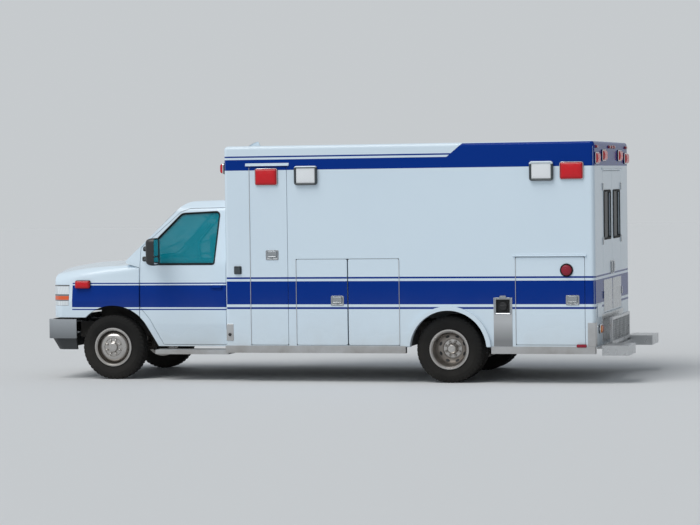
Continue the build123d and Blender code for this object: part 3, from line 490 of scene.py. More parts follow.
# %% Assign
FINISHES = {
    paint_module: """module_side_walls module_end_walls module_roof tall_door locker_door_front
        locker_door_rear rear_locker_door_left rear_locker_door_right entry_door rear_door_left
        rear_door_right""",
    paint_cab: "cab_shell front_wings hood cab_door_left cab_door_right",
    paint_plain: "wheel_flares",
    chrome: "grille",
    bumper_metal: "front_bumper",
    filler_metal: "fuel_filler",
    headlamp: "headlamps",
    steel: "wheel_front_left wheel_front_right wheels_rear_left wheels_rear_right",
    brushed: "exhaust_pipe",
    rail_metal: "skirt_trim",
    plate_metal: "rear_bumper flip_step",
    iron: "front_axle rear_axle engine_block knuckle_left knuckle_right",
    dark_under: "frame_rails fuel_tank",
    grey_trim: "dashboard cab_floor",
    floor_vinyl: "module_floor",
    cabinet_white: "module_cabinets",
    red_lens: "warning_lights tall_door_light tail_lights",
    clear_lens: "scene_lights",
    cab_glass: "windscreen cab_door_glass_left cab_door_glass_right",
    dark_glass: "rear_door_glass_left rear_door_glass_right entry_glass",
    tyre_rubber: "tyre_front_left tyre_front_right tyres_rear_left tyres_rear_right",
    black_trim: "mirror_left mirror_right",
    seat_cloth: "cab_seats",
}
for finish, names in FINISHES.items():
    for name in names.split():
        nodes[name].data.materials.clear()
        nodes[name].data.materials.append(finish)
done = " ".join(FINISHES.values()).split()
print("finished", len(done), "solid pieces; left over:", sorted(set(nodes) - set(done)))

# %% [markdown]
# ## Small parts in mesh code
# Handles, lamps, seals and rails are made from a few kinds of surface: a stack of rounded outlines, a
# profile turned about a line, a profile pulled along a straight run, and a tube along a smooth path. Each
# helper below returns points and faces, so that many small parts of one finish can share one piece.
# Places and sizes are in metres, and profiles, which are small, in millimetres.

# %% Mesh helpers
FACES = {
    "left": ((1, 0, 0), (0, 0, 1), (0, 1, 0)),
    "right": ((1, 0, 0), (0, 0, 1), (0, -1, 0)),
    "rear": ((0, 1, 0), (0, 0, 1), (-1, 0, 0)),
    "front": ((0, 1, 0), (0, 0, 1), (1, 0, 0)),
    "up": ((1, 0, 0), (0, 1, 0), (0, 0, 1)),
    "down": ((1, 0, 0), (0, 1, 0), (0, 0, -1)),
}
SIDES = (("left", 1), ("right", -1))
SLOTS = {tyre_rubber: "tyre", iron: "cast_iron", shaded_dish_steel: "cast_iron", steel: "brushed_steel",
         brushed: "brushed_steel", chrome: "chrome", satin: "chrome", mirror_silver: "chrome",
         rail_metal: "aluminium", plate_metal: "aluminium", red_lens: "red_lamp", marker_red: "red_lamp",
         amber_lens: "red_lamp", clear_lens: "clear_lamp", lamp_glass: "tinted_glass",
         rubber: "black_plastic", lamp_frame: "black_plastic", black_trim: "black_plastic",
         dark_bezel: "black_plastic", grey_trim: "grey_plastic", seat_cloth: "seat_fabric",
         paint_plain: "white_paint", paint_cab: "white_paint"}


def grid(points, wrap_rows=False, wrap_columns=False, caps=False):
    """Points in rows and columns, joined by four-sided faces; caps close the first and last row."""
    rows, columns = points.shape[:2]
    index = np.arange(rows * columns).reshape(rows, columns)
    if wrap_rows:
        index = np.vstack([index, index[:1]])
    if wrap_columns:
        index = np.hstack([index, index[:, :1]])
    quads = np.stack([index[:-1, :-1], index[:-1, 1:], index[1:, 1:], index[1:, :-1]], axis=-1).reshape(-1, 4)
    ends = [list(range(columns)), list(range((rows - 1) * columns, rows * columns))] if caps else []
    return points.reshape(-1, 3), quads, ends


def piece(name, parts, body, material, slot=None, crease=32.0, instead=None):
    """One object from all the given parts, shaded smooth but for bends sharper than the crease."""
    start, points, faces = 0, [], []
    for some_points, quads, ends in parts:
        points.append(some_points)
        faces += (quads + start).tolist() + [[k + start for k in end] for end in ends]
        start += len(some_points)
    mesh = bpy.data.meshes.new(name)
    mesh.from_pydata(np.concatenate(points).tolist(), [], faces)
    shape = bmesh.new()
    shape.from_mesh(mesh)
    bmesh.ops.remove_doubles(shape, verts=shape.verts, dist=0.00002)
    bmesh.ops.recalc_face_normals(shape, faces=shape.faces)
    shape.to_mesh(mesh)
    shape.free()
    mesh.shade_smooth()
    mesh.set_sharp_from_angle(angle=math.radians(crease))
    mesh.materials.append(material)
    made = added(name, mesh)
    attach(made, body)
    slot or SLOTS[material]
    if instead:
        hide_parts(instead)
    return made


def rounded(width, height, radius, steps=5):
    """A rounded rectangle about its middle: a quarter circle at each corner."""
    radius = min(radius, width / 2 - 1e-5, height / 2 - 1e-5)
    turn = np.linspace(0, math.pi / 2, steps + 1)
    parts = []
    for quarter, (sx, sy) in enumerate(((1, 1), (-1, 1), (-1, -1), (1, -1))):
        angle = turn + quarter * math.pi / 2
        parts.append(np.stack([sx * (width / 2 - radius) + radius * np.cos(angle),
                               sy * (height / 2 - radius) + radius * np.sin(angle)], axis=1))
    return np.concatenate(parts)


def on_face(face, centre, flat, out):
    """Carries points of a flat outline, and their height above it, onto one side of the vehicle."""
    across, upward, outward = (np.array(v, float) for v in FACES[face])
    return (np.array(centre, float) + flat[..., 0:1] * across + flat[..., 1:2] * upward
            + np.asarray(out)[..., None] * outward)


def stack(face, centre, size, radius, levels, ring=False, steps=5):
    """Rounded outlines one above the other. A level is how far the outline is drawn in, and its height.
    As a ring, the last outline joins the first; else both ends are closed."""
    rows = []
    for inset, height in np.array(levels, float) / 1000.0:
        outline = rounded(size[0] - 2 * inset, size[1] - 2 * inset, max(radius - inset, 0.0008), steps)
        rows.append(on_face(face, centre, outline, np.full(len(outline), height)))
    return grid(np.array(rows), wrap_rows=ring, wrap_columns=True, caps=not ring)


def turned(profile, centre, axis="y", side=1, steps=48, closed=False):
    """A profile of (radius, distance along) turned about a line through the centre."""
    profile = np.array(profile, float) / 1000.0
    angle = np.linspace(0, TAU, steps, endpoint=False)
    ring_a = profile[:, None, 0] * np.cos(angle)
    ring_b = profile[:, None, 0] * np.sin(angle)
    along = np.repeat(side * profile[:, 1:2], steps, axis=1)
    order = {"x": (along, ring_a, ring_b), "y": (ring_a, along, ring_b), "z": (ring_a, ring_b, along)}[axis]
    points = np.stack(order, axis=-1) + np.array(centre, float)
    return grid(points, wrap_rows=closed, wrap_columns=True, caps=not closed)


def pulled(profile, start, end, out):
    """A closed profile of (out, up) points pulled straight from start to end."""
    profile = np.array(profile, float) / 1000.0
    section = profile[:, 0:1] * np.array(out, float) + profile[:, 1:2] * np.array((0, 0, 1.0))
    rows = np.stack([section + np.array(start, float), section + np.array(end, float)])
    return grid(rows, wrap_columns=True, caps=True)


def smooth_path(points, steps=8):
    """A smooth line through the points, each stretch a cubic whose slopes come from its neighbours."""
    p = np.array(points, float)
    full = np.vstack([2 * p[0] - p[1], p, 2 * p[-1] - p[-2]])
    t = np.linspace(0, 1, steps, endpoint=False)[None, :, None]
    a, b, c, d = (q[:, None, :] for q in (full[:-3], full[1:-2], full[2:-1], full[3:]))
    line = 0.5 * (2 * b + (c - a) * t + (2 * a - 5 * b + 4 * c - d) * t ** 2
                  + (3 * b - a - 3 * c + d) * t ** 3)
    return np.vstack([line.reshape(-1, p.shape[1]), p[-1]])


def tube(points, radius, around=10, steps=6, straight=False, closed=False, flat=1.0):
    """A round tube along a path. Its two cross directions come from one fixed direction that the path
    never follows, so it doesn't twist."""
    line = np.array(points, float) if straight else smooth_path(points, steps)
    if closed:
        ahead = np.roll(line, -1, 0) - np.roll(line, 1, 0)
    else:
        ahead = np.gradient(line, axis=0)
    ahead /= np.linalg.norm(ahead, axis=1, keepdims=True)
    fixed = np.eye(3)[int(np.argmin(np.abs(ahead).max(axis=0)))]
    across = np.cross(ahead, fixed)
    across /= np.linalg.norm(across, axis=1, keepdims=True)
    upward = np.cross(across, ahead)
    angle = np.linspace(0, TAU, around, endpoint=False)
    rows = (line[:, None, :] + radius * (np.cos(angle)[None, :, None] * across[:, None, :]
            + flat * np.sin(angle)[None, :, None] * upward[:, None, :]))
    return grid(rows, wrap_rows=closed, wrap_columns=True, caps=not closed)


print("helpers ready")

# %% [markdown]
# ## Tyres
# Each tyre is one surface: round the wheel one way and across the tyre the other. The section has the
# bead, a bulged side wall with a scuff rib, a rounded shoulder and a flat tread with four grooves. Slots
# are cut across the tread by drawing the radius in at regular angles, and lean in opposite ways on the
# two halves, as on a mixed-road tyre.

# %% Tyres
TYRE_HALF = np.array([
    (84, 207), (90, 212), (94.5, 222), (98, 226), (101, 240), (104, 256), (106, 274), (106.6, 290),
    (107, 294), (107, 301), (105.6, 305), (103, 320), (99, 335), (94, 348), (89.5, 357), (86, 363.5),
    (80, 368.5), (72, 371), (57, 372), (55, 364), (48, 364), (46, 372), (27, 372), (25, 363.5), (18, 363.5),
    (16, 372), (0, 372),
])
HALF_X, HALF_R = TYRE_HALF.T
SLOT_DEPTH = np.where((HALF_X > 56.5) & (HALF_R > 346), 8.0, 0.0)
SLOT_DEPTH = np.where((HALF_X > 26) & (HALF_X < 47) & (HALF_R > 370), 5.0, SLOT_DEPTH)
TREAD_PITCHES, TREAD_STEPS, LEAN_WIDTH = 46, 6, 0.017
FRONT_WHEEL_Y, TWIN_Y, TWIN_HALF = 0.881, 0.955, 0.125


def tyre(x, y):
    """A whole tyre: the half section and its mirror image, turned, with the slots drawn in."""
    section = np.vstack([TYRE_HALF, TYRE_HALF[-2::-1] * (-1, 1)]) / 1000.0
    depth = np.concatenate([SLOT_DEPTH, SLOT_DEPTH[-2::-1]]) / 1000.0
    step = np.arange(TREAD_PITCHES * TREAD_STEPS)
    lean = np.round(section[:, 0] / LEAN_WIDTH) + np.where(section[:, 0] < 0, TREAD_STEPS // 2, 0)
    slot = ((step[:, None] + lean[None, :]) % TREAD_STEPS) < 2
    radius = section[None, :, 1] - depth[None, :] * slot
    angle = step * TAU / len(step)
    points = np.stack([x + radius * np.cos(angle)[:, None], y + np.broadcast_to(section[:, 0], radius.shape),
                       AXLE_Z + radius * np.sin(angle)[:, None]], axis=-1)
    return grid(points, wrap_rows=True)


for word, sign in SIDES:
    piece(f"tread_tyre_front_{word}", [tyre(FRONT_AXLE, sign * FRONT_WHEEL_Y)], f"front_wheel_{word}",
          tyre_rubber, crease=28, instead=f"tyre_front_{word}")
    twins = [tyre(REAR_AXLE, sign * (TWIN_Y + step)) for step in (TWIN_HALF, -TWIN_HALF)]
    piece(f"tread_tyres_rear_{word}", twins, f"rear_wheels_{word}", tyre_rubber, crease=28,
          instead=f"tyres_rear_{word}")
print("six tyres with", TREAD_PITCHES, "tread pitches each")

# %% [markdown]
# ## Wheels
# The front wheels bulge outwards and the rear ones are deeply dished, which is the same disc turned round:
# on twin rear wheels the two discs meet back to back. Bright covers carry a rolled rim, a gap, a domed or
# dished face, eight nut caps and a hub cap. A thin dark ring laid in the gap, and on the rear wheels down
# the dish's inner wall, is painted shade, and the dark caps over the hand holes are painted shade too.

# %% Wheels
FRONT_FACE = [
    (199, 70), (199, 96), (205, 99), (222, 100), (224, 103), (222, 107), (214, 109.5), (206, 108), (201, 103),
    (197, 92), (194, 70), (189, 56), (181, 50), (174, 52), (169, 60), (165, 70), (158, 81), (146, 91),
    (131, 98), (118, 100.5), (109, 100), (105, 96), (102, 92), (64, 92), (59, 95), (56, 103), (54, 119),
    (51, 126), (45, 130), (32, 132.5), (15, 133.5), (0, 134),
]
REAR_FACE = [
    (199, 190), (199, 221), (205, 224), (222, 225), (224, 228), (222, 232), (214, 234.5), (206, 233),
    (201, 228), (196, 214), (192, 190), (189, 150), (185, 118), (178, 92), (166, 70), (151, 56), (135, 47),
    (120, 43), (110, 42), (106, 38), (103, 34), (66, 34), (62, 38), (60, 50), (57, 84), (54, 104),
    (49, 114), (40, 120), (22, 123.5), (0, 124),
]
# Profiles of the thin dark rings laid just over the covers' gap: painted shade, not a part of the wheel.
FRONT_GAP_SHADE = [(197.5, 94), (195.2, 70), (190, 57), (181, 51.3), (173.5, 53.3), (168.2, 61), (165.8, 68)]
REAR_GAP_SHADE = [(199.5, 226), (197.2, 214), (193.2, 190), (190.2, 150), (186.2, 118), (179.2, 93), (166.8, 71.2),
            (151.6, 57.2), (135.4, 48.2), (120.2, 44.2), (110, 43.2)]
WELL = [(194, 55), (192, 75), (194, 97), (222, 98.5), (222, 93.5), (206, 88), (203.5, 60)]
NUT = [(13.5, 0), (13.5, 12), (12, 18), (8, 22.5), (3, 24.5), (0, 25)]
HOLE = [(21, -4), (21, 1.2), (18, 2.2), (0, 2.4)]
NUT_CIRCLE, NUT_COUNT, HOLE_COUNT = 0.0825, 8, 8
WALL_COS, WALL_SIN, HOLE_CIRCLE, HOLE_OUT = 0.871, 0.490, 0.1435, 0.0535


def thin(profile, back, inward=0.0):
    """A closed profile: the given line, and the same line behind it the other way."""
    behind = np.array(profile[::-1], float) - (0, back)
    behind[:, 0] = np.maximum(behind[:, 0] - inward, 0.0)
    return np.vstack([profile, behind])


def wheel_face(profile, x, y, side, nut_seat):
    """The bright face with its nuts: the profile goes from the rim to the middle and back behind."""
    parts = [turned(thin(profile, 4, 2), (x, y, AXLE_Z), "y", side, 72, closed=True)]
    for angle in TAU * (np.arange(NUT_COUNT) + 0.5) / NUT_COUNT:
        centre = (x + NUT_CIRCLE * math.cos(angle), y, AXLE_Z + NUT_CIRCLE * math.sin(angle))
        parts.append(turned(np.array(NUT) + (0, nut_seat - 2), centre, "y", side, 12))
    return parts


def barrel(x, y):
    """The rim's well and both its flanges, seen between the twins and from behind."""
    return turned(WELL + [(r, -w) for r, w in WELL[::-1]], (x, y, AXLE_Z), "y", 1, 72, closed=True)


def hand_hole(angle, x, y, side):
    """An oval hole in the sloped wall of the dish, drawn as a low dark cap that leans with the wall. The
    cap's dark is painted shade standing in for the open hole.
    """
    points, quads, ends = turned(HOLE, (0, 0, 0), "z", 1, 20)
    outward = np.array([math.cos(angle), 0.0, math.sin(angle)])
    around = np.array([-math.sin(angle), 0.0, math.cos(angle)])
    axle = np.array([0.0, float(side), 0.0])
    along, up_wall = WALL_COS * outward + WALL_SIN * axle, WALL_COS * axle - WALL_SIN * outward
    centre = np.array([x, y, AXLE_Z]) + HOLE_OUT * axle + HOLE_CIRCLE * outward
    return points @ np.stack([along * 0.75, around * 1.15, up_wall]) + centre, quads, ends


for word, sign in SIDES:
    front, rear = (FRONT_AXLE, sign * FRONT_WHEEL_Y), (REAR_AXLE, sign * TWIN_Y)
    # The gap rings are painted shade: axle iron at the front, and the darker shaded steel down the rear
    # dish's inner wall.
    for kind, gap_shade_line, (x, y), body, finish in (("front", FRONT_GAP_SHADE, front, f"front_wheel_{word}", iron),
                                            ("rear", REAR_GAP_SHADE, rear, f"rear_wheels_{word}", shaded_dish_steel)):
        gap_shade = turned(thin(gap_shade_line, 2), (x, y, AXLE_Z), "y", sign, 72, closed=True)
        piece(f"{kind}_wheel_gap_shade_{word}", [gap_shade], body, finish)
    # Dark caps over the hand holes: painted shade.
    holes = [hand_hole(TAU * (k + 0.5) / HOLE_COUNT, *rear, sign) for k in range(HOLE_COUNT)]
    piece(f"rear_wheel_holes_{word}", holes, f"rear_wheels_{word}", black_trim, "black_steel")
    piece(f"front_wheel_cover_{word}", wheel_face(FRONT_FACE, *front, sign, 92) + [barrel(*front)],
          f"front_wheel_{word}", steel, instead=f"wheel_front_{word}")
    parts = wheel_face(REAR_FACE, *rear, sign, 34) + wheel_face(REAR_FACE, *rear, -sign, 34)
    parts += [barrel(REAR_AXLE, rear[1] + step) for step in (TWIN_HALF, -TWIN_HALF)]
    piece(f"rear_wheel_cover_{word}", parts, f"rear_wheels_{word}", steel, instead=f"wheels_rear_{word}")
print("wheels made with", NUT_COUNT, "nuts each")

# %% [markdown]
# ## Warning lamps and scene lamps
# A warning lamp is a red moulded lens, bowed outwards, in a chromed bezel with a dark rubber foot. A scene
# lamp is a clear pane in a dark frame, with a bright reflector behind. Each is a few stacks of rounded
# outlines, whose heights are shares of the lamp's depth, repeated where the solid model keeps a lamp.

# %% Lamps on the box
LAMP_SIZE, END_SIZE, SCENE_SIZE = (0.270, 0.200), (0.250, 0.130), (0.265, 0.215)
FLAT, DEEP = 38, 75
WARNING = (
    (0.030, True, 5, [(0, 0), (0, 0.2), (3, 0.24), (3, 0)]),
    (0.028, True, 5, [(3, 0.2), (2, 0.3), (4, 0.38), (8, 0.42), (12, 0.36), (13, 0.15)]),
    (0.024, False, 8, [(12, 0.15), (12, 0.50), (16, 0.66), (23, 0.78), (34, 0.88), (48, 0.95), (62, 0.985),
                       (64, 1.0)]),
)
SCENE = (
    (0.030, True, 5, [(0, 0), (0, 0.7), (3, 0.9), (10, 1.0), (20, 0.9), (26, 0.6), (27, 0.1)]),
    (0.020, False, 5, [(26, 0.45), (26, 0.62), (50, 0.72)]),
    (0.020, False, 5, [(28, 0.40), (60, 0.16), (85, 0.12)]),
)


def lamp(kind, face, centre, size, depth=FLAT):
    """The layers of one lamp: foot, bezel and lens, or frame, pane and reflector."""
    return [stack(face, centre, size, radius, np.array(levels) * (1, depth), ring, steps)
            for radius, ring, steps, levels in kind]


warning, scene = [], []
for word, sign in SIDES:
    warning.append(lamp(WARNING, word, (at(-5.409), sign * HALF_W, 2.335), LAMP_SIZE))
    for face, x, low_z, depth in (("front", FRONT, 2.410, DEEP), ("rear", BACK, 2.470, FLAT)):
        for y, rise in ((1.035, 0.0), (0.560, 0.030)):
            warning.append(lamp(WARNING, face, (x, sign * y, low_z + rise), END_SIZE, depth))
    ahead_place = (-2.399, 2.320) if sign > 0 else (-1.860, 2.335)
    for place, z in (ahead_place, (-5.074, 2.335)):
        scene.append(lamp(SCENE, word, (at(place), sign * HALF_W, z), SCENE_SIZE))
feet, bezels, lenses = zip(*warning)
frames, panes, reflectors = zip(*scene)
piece("warning_lamp_lenses", lenses, "chassis", red_lens, instead="warning_lights")
piece("warning_lamp_bezels", bezels, "chassis", chrome)
piece("warning_lamp_feet", feet, "chassis", rubber)
piece("scene_lamp_panes", panes, "chassis", clear_lens, instead="scene_lights")
piece("scene_lamp_frames", frames, "chassis", lamp_frame)
piece("scene_lamp_reflectors", reflectors, "chassis", chrome)
foot, bezel, red = lamp(WARNING, "left", (at(-1.937), HALF_W, 2.310), LAMP_SIZE)
piece("tall_door_lens", [red], "tall_door", red_lens, instead="tall_door_light")
piece("tall_door_bezel", [bezel], "tall_door", chrome)
piece("tall_door_lamp_foot", [foot], "tall_door", rubber)
print(len(warning) + 1, "warning lamps and", len(scene), "scene lamps")

# %% [markdown]
# ## Lamps on the wings, round markers and tail lamps
# The small lamp on each wing sits in a rubber foot on the curved steel. The tail lamps are two round units
# on a plate, each in a bright ring. Markers along the roof edge and sides are small bowed lenses.

# %% Small lamps
WING_FOOT, WING_LENS = [(0, -30), (0, 6), (4, 10)], [(0, 0), (0, 22), (3, 28), (10, 34), (22, 38), (36, 40)]
EDGE_LENS, ROOF_LENS = [(0, -4), (0, 4), (3, 8), (10, 10)], [(0, 0), (0, 10), (4, 17), (12, 20)]
ROUND_LENS, ROUND_RING = ([(44, 0), (44, 14), (40, 22), (28, 28), (12, 31), (0, 31.5)],
                          [(45, 0), (52, 2), (53, 12), (49, 17), (45, 16)])
MARKER = [(60, 0), (60, 12), (56, 20), (42, 26), (22, 29), (0, 30)]
MARKER_FOOT = [(62, 0), (73, 1), (73, 8), (68, 13), (60, 12)]
reds, ambers, feet, wing_red, rings = [], [], [], [], []
for word, sign in SIDES:
    centre = (at(0.3645), sign * 0.972, 1.095)
    feet.append(stack(word, centre, (0.186, 0.096), 0.020, WING_FOOT))
    wing_red.append(stack(word, centre, (0.178, 0.088), 0.018, WING_LENS))
    reds.append(stack(word, (at(-5.5035), sign * (HALF_W + 0.022), 0.4195), (0.112, 0.036), 0.012, EDGE_LENS))
    for y, kind in ((0.860, reds), (0.940, ambers)):
        kind.append(turned(ROUND_LENS, (BACK - 0.006, sign * y, 0.590), "x", -1, 32))
        rings.append(turned(ROUND_RING, (BACK - 0.004, sign * y, 0.590), "x", -1, 32, closed=True))
    feet.append(stack("rear", (BACK, sign * 0.900, 0.590), (0.200, 0.100), 0.020, [(0, 0), (0, 3), (3, 6)]))
for y in (-1.05, -0.16, 0.0, 0.16, 1.05):
    reds.append(stack("rear", (BACK, y, 2.595), (0.100, 0.034), 0.012, ROOF_LENS))
    ambers.append(stack("front", (FRONT, y, 2.585), (0.100, 0.034), 0.012, ROOF_LENS))
piece("wing_lamp_lenses", wing_red, "chassis", red_lens)
piece("small_red_lenses", reds, "chassis", marker_red, instead="tail_lights")
piece("small_amber_lenses", ambers, "chassis", amber_lens)
piece("small_lamp_feet", feet, "chassis", rubber)
piece("small_lamp_rims", rings, "chassis", chrome)
for word, sign in SIDES:
    centre, body = (at(-5.342), sign * HALF_W, 1.248 if sign > 0 else 1.700), f"rear_locker_door_{word}"
    piece(f"round_marker_lens_{word}", [turned(MARKER, centre, "y", sign, 40)], body, marker_red)
    piece(f"round_marker_foot_{word}", [turned(MARKER_FOOT, centre, "y", sign, 40, True)], body, rubber)
print(len(reds), "red and", len(ambers), "amber small lenses")

# %% [markdown]
# ## Paddle handles, locks and hinges
# Each locker has a recessed paddle: a chromed dish pressed into a plate, with a flap that a hand pulls
# from below, and a key lock under it. The doors hang on full-length piano hinges, of which only the
# knuckle shows as a thin bright line.

# %% Handles
PADDLE_PLATE = [(0, 0), (0, 2.5), (2, 4.5), (10, 5), (14, 3), (18, 1.2)]
PADDLE_FLAP = [(0, 1), (0, 10), (3, 14), (10, 15.5), (22, 12.5)]
LOCK = [(9, 0), (9, 6), (7, 8), (3, 8.5), (0, 8.5)]
HANDLES = [
    ("paddle_tall_door", "tall_door", "left", (at(-1.993), HALF_W, 1.430)),
    ("paddle_locker_door_front", "locker_door_front", "left", (at(-2.745), HALF_W, 0.915)),
    ("paddle_rear_locker_door_left", "rear_locker_door_left", "left", (at(-5.405), HALF_W, 0.918)),
    ("paddle_rear_locker_door_right", "rear_locker_door_right", "right", (at(-5.405), -HALF_W, 1.120)),
    ("paddle_entry_door", "entry_door", "right", (at(-2.880), -HALF_W, 1.180)),
    ("paddle_rear_door_right", "rear_door_right", "rear", (BACK, -0.075, 1.240)),
    ("paddle_rear_door_left", "rear_door_left", "rear", (BACK, 0.075, 1.240)),
]


def paddle(face, centre, width, height):
    """The plate, its sunk dish, the paddle over it and the round key lock."""
    upward = np.array(centre, float) + (0, 0, 0.010)
    lip = on_face(face, upward, np.array([0.0, -height / 2 + 0.028]), 0.012)
    across = np.array(FACES[face][0], float) * (width / 2 - 0.030)
    below = on_face(face, centre, np.array([0.0, -height / 2 + 0.018]), 0.0)
    axis, turn = ("x" if face == "rear" else "y"), (1 if face == "left" else -1)
    return [stack(face, centre, (width, height), 0.014, PADDLE_PLATE),
            stack(face, upward, (width - 0.046, height - 0.052), 0.010, PADDLE_FLAP),
            tube([lip - across, lip, lip + across], 0.005, 8, 4), turned(LOCK, below, axis, turn, 16)]


for name, body, face, centre in HANDLES:
    size = (0.120, 0.150) if face == "rear" else (0.150, 0.112)
    piece(name, paddle(face, centre, *size), body, satin)

HINGES = [(1, -1.7345, 0.425, 2.415), (1, -2.2695, 0.425, 1.375), (1, -3.4575, 0.425, 1.375),
          (1, -4.7725, 0.435, 1.385), (-1, -4.7725, 0.435, 1.890), (-1, -2.1925, 0.440, 2.320)]
knuckles = []
for sign, place, low_z, high_z in HINGES:
    x, y = at(place), sign * (HALF_W + 0.003)
    knuckles.append(tube([(x, y, low_z), (x, y, high_z)], 0.0035, 8, straight=True))
for sign in (1, -1):
    for z in (0.95, 1.55, 2.15):
        for step in (-0.028, 0, 0.028):
            x, y, half = BACK - 0.007, sign * 0.640, 0.0128
            ends = [(x, y, z + step - half), (x, y, z + step + half)]
            knuckles.append(tube(ends, 0.0085, 14, straight=True))
piece("hinge_knuckles", knuckles, "chassis", brushed)

LIP = [(0, 0), (14, -4), (17, 1), (13, 4), (4, 6), (3, 26), (0, 28)]
drips = [pulled(LIP, (at(front_x), sign * HALF_W, z), (at(back_x), sign * HALF_W, z), (0, sign, 0))
         for sign, front_x, back_x, z in ((1, -1.692, -2.200, 2.436), (1, -4.745, -5.565, 1.404),
                                          (-1, -2.160, -3.020, 2.342), (-1, -4.745, -5.565, 1.908))]
drips.append(pulled(LIP, (BACK, -0.70, 2.345), (BACK, 0.70, 2.345), (-1, 0, 0)))
piece("drip_rails", drips, "chassis", paint_plain)
print(len(HANDLES), "handles,", len(knuckles), "hinge knuckles,", len(drips), "drip rails")

# %% [markdown]
# ## Window rubbers, mirrors and cab door handles
# The glass of a cab door sits in a rubber channel that follows the window's rounded outline and leans with
# the door's skin. The path is the window's outline, with its corners rounded, and the rubber is a small
# section swept along it. The mirrors are tall heads with a flat glass above a small curved one, on two
# tubes that grow from a foot on the door.

# %% Window rubbers
CAB_SKIN_Z = [0.385, 0.64, 0.97, 1.03, 1.29, 1.313, 1.335, 1.357, 1.378, 1.94]
CAB_SKIN_Y = [0.958, 0.9845, 0.9896, 0.9884, 0.9743, 0.9727, 0.9705, 0.966, 0.9602, 0.8055]
CAB_WINDOW = [(-0.445, 1.320, 0.025), (-0.445, 1.532, 0.030), (-0.806, 1.905, 0.090), (-1.264, 1.924, 0.045),
              (-1.232, 1.320, 0.030)]
RUBBER = [(6, 0.5), (5, 3.5), (0, 4.5), (-6, 2.5), (-12, -4), (-15, -13), (-10, -19), (-0.5, -19),
          (-0.5, -0.5)]
STRIP = np.array([(0, 1), (0, 6), (12, 7), (16, 2), (14, -16)]) / 1000.0
STRIP_Z, HANDLE_Z = 1.322, 1.06


def bent_outline(corners, steps=8):
    """A closed outline through (across, up, radius) corners, each rounded by a circle's arc."""
    points = np.array([c[:2] for c in corners], float)
    line = []
    for k, (_, _, radius) in enumerate(corners):
        here = points[k]
        to_last, to_next = points[k - 1] - here, points[(k + 1) % len(points)] - here
        to_last, to_next = to_last / np.linalg.norm(to_last), to_next / np.linalg.norm(to_next)
        half = math.acos(float(np.clip(np.dot(to_last, to_next), -1, 1))) / 2
        middle = (to_last + to_next) / np.linalg.norm(to_last + to_next)
        centre = here + middle * radius / math.sin(half)
        start, end = here + to_last * radius / math.tan(half), here + to_next * radius / math.tan(half)
        t = np.linspace(0, 1, steps + 1)[:, None]
        arc = start + (end - start) * t - centre
        line.append(centre + arc / np.linalg.norm(arc, axis=1, keepdims=True) * radius)
    return np.concatenate(line)


def swept_rim(outline, section, place, *side):
    """A closed section of (out from the outline, height over the skin) carried round the outline."""
    ahead = np.roll(outline, -1, 0) - np.roll(outline, 1, 0)
    ahead /= np.linalg.norm(ahead, axis=1, keepdims=True)
    away = np.stack([ahead[:, 1], -ahead[:, 0]], axis=1)
    if ((outline - outline.mean(axis=0)) * away).sum() < 0:
        away = -away
    section = np.array(section, float) / 1000.0
    flat = outline[:, None, :] + away[:, None, :] * section[None, :, 0:1]
    return grid(place(flat, section[:, 1], *side), wrap_rows=True, wrap_columns=True)


def skin_y(z):
    """How far out the skin of the cab's side stands at a height."""
    return np.interp(z, CAB_SKIN_Z, CAB_SKIN_Y)


def on_door(flat, height, sign):
    """Carries (place, up) points onto the leaning skin of the cab's side."""
    return np.stack([at(flat[..., 0]), sign * (skin_y(flat[..., 1]) + height), flat[..., 1]], axis=-1)


for word, sign in SIDES:
    strip = np.meshgrid(np.linspace(-0.452, -1.226, 24), STRIP_Z + STRIP[:, 0], indexing="ij")
    parts = [swept_rim(bent_outline(CAB_WINDOW), RUBBER, on_door, sign),
             grid(on_door(np.stack(strip, axis=-1), STRIP[:, 1], sign), wrap_columns=True, caps=True)]
    piece(f"cab_window_rubber_{word}", parts, f"cab_door_{word}", rubber)
    y = sign * skin_y(HANDLE_Z)
    parts = [stack(word, (at(-1.262), y, HANDLE_Z), (0.160, 0.070), 0.024,
                   [(0, -4), (0, 3), (4, 6), (10, 6), (16, 1), (22, 0)]),
             stack(word, (at(-1.268), y, HANDLE_Z + 0.006), (0.118, 0.034), 0.012,
                   [(0, 0), (0, 12), (3, 17), (9, 19)]),
             turned([(10, 0), (10, 8), (8, 10), (0, 10.5)], (at(-1.205), y, HANDLE_Z - 0.005), "y", sign, 20)]
    piece(f"cab_door_handle_{word}", parts, f"cab_door_{word}", paint_cab)
print("window rubbers follow", len(bent_outline(CAB_WINDOW)), "points")

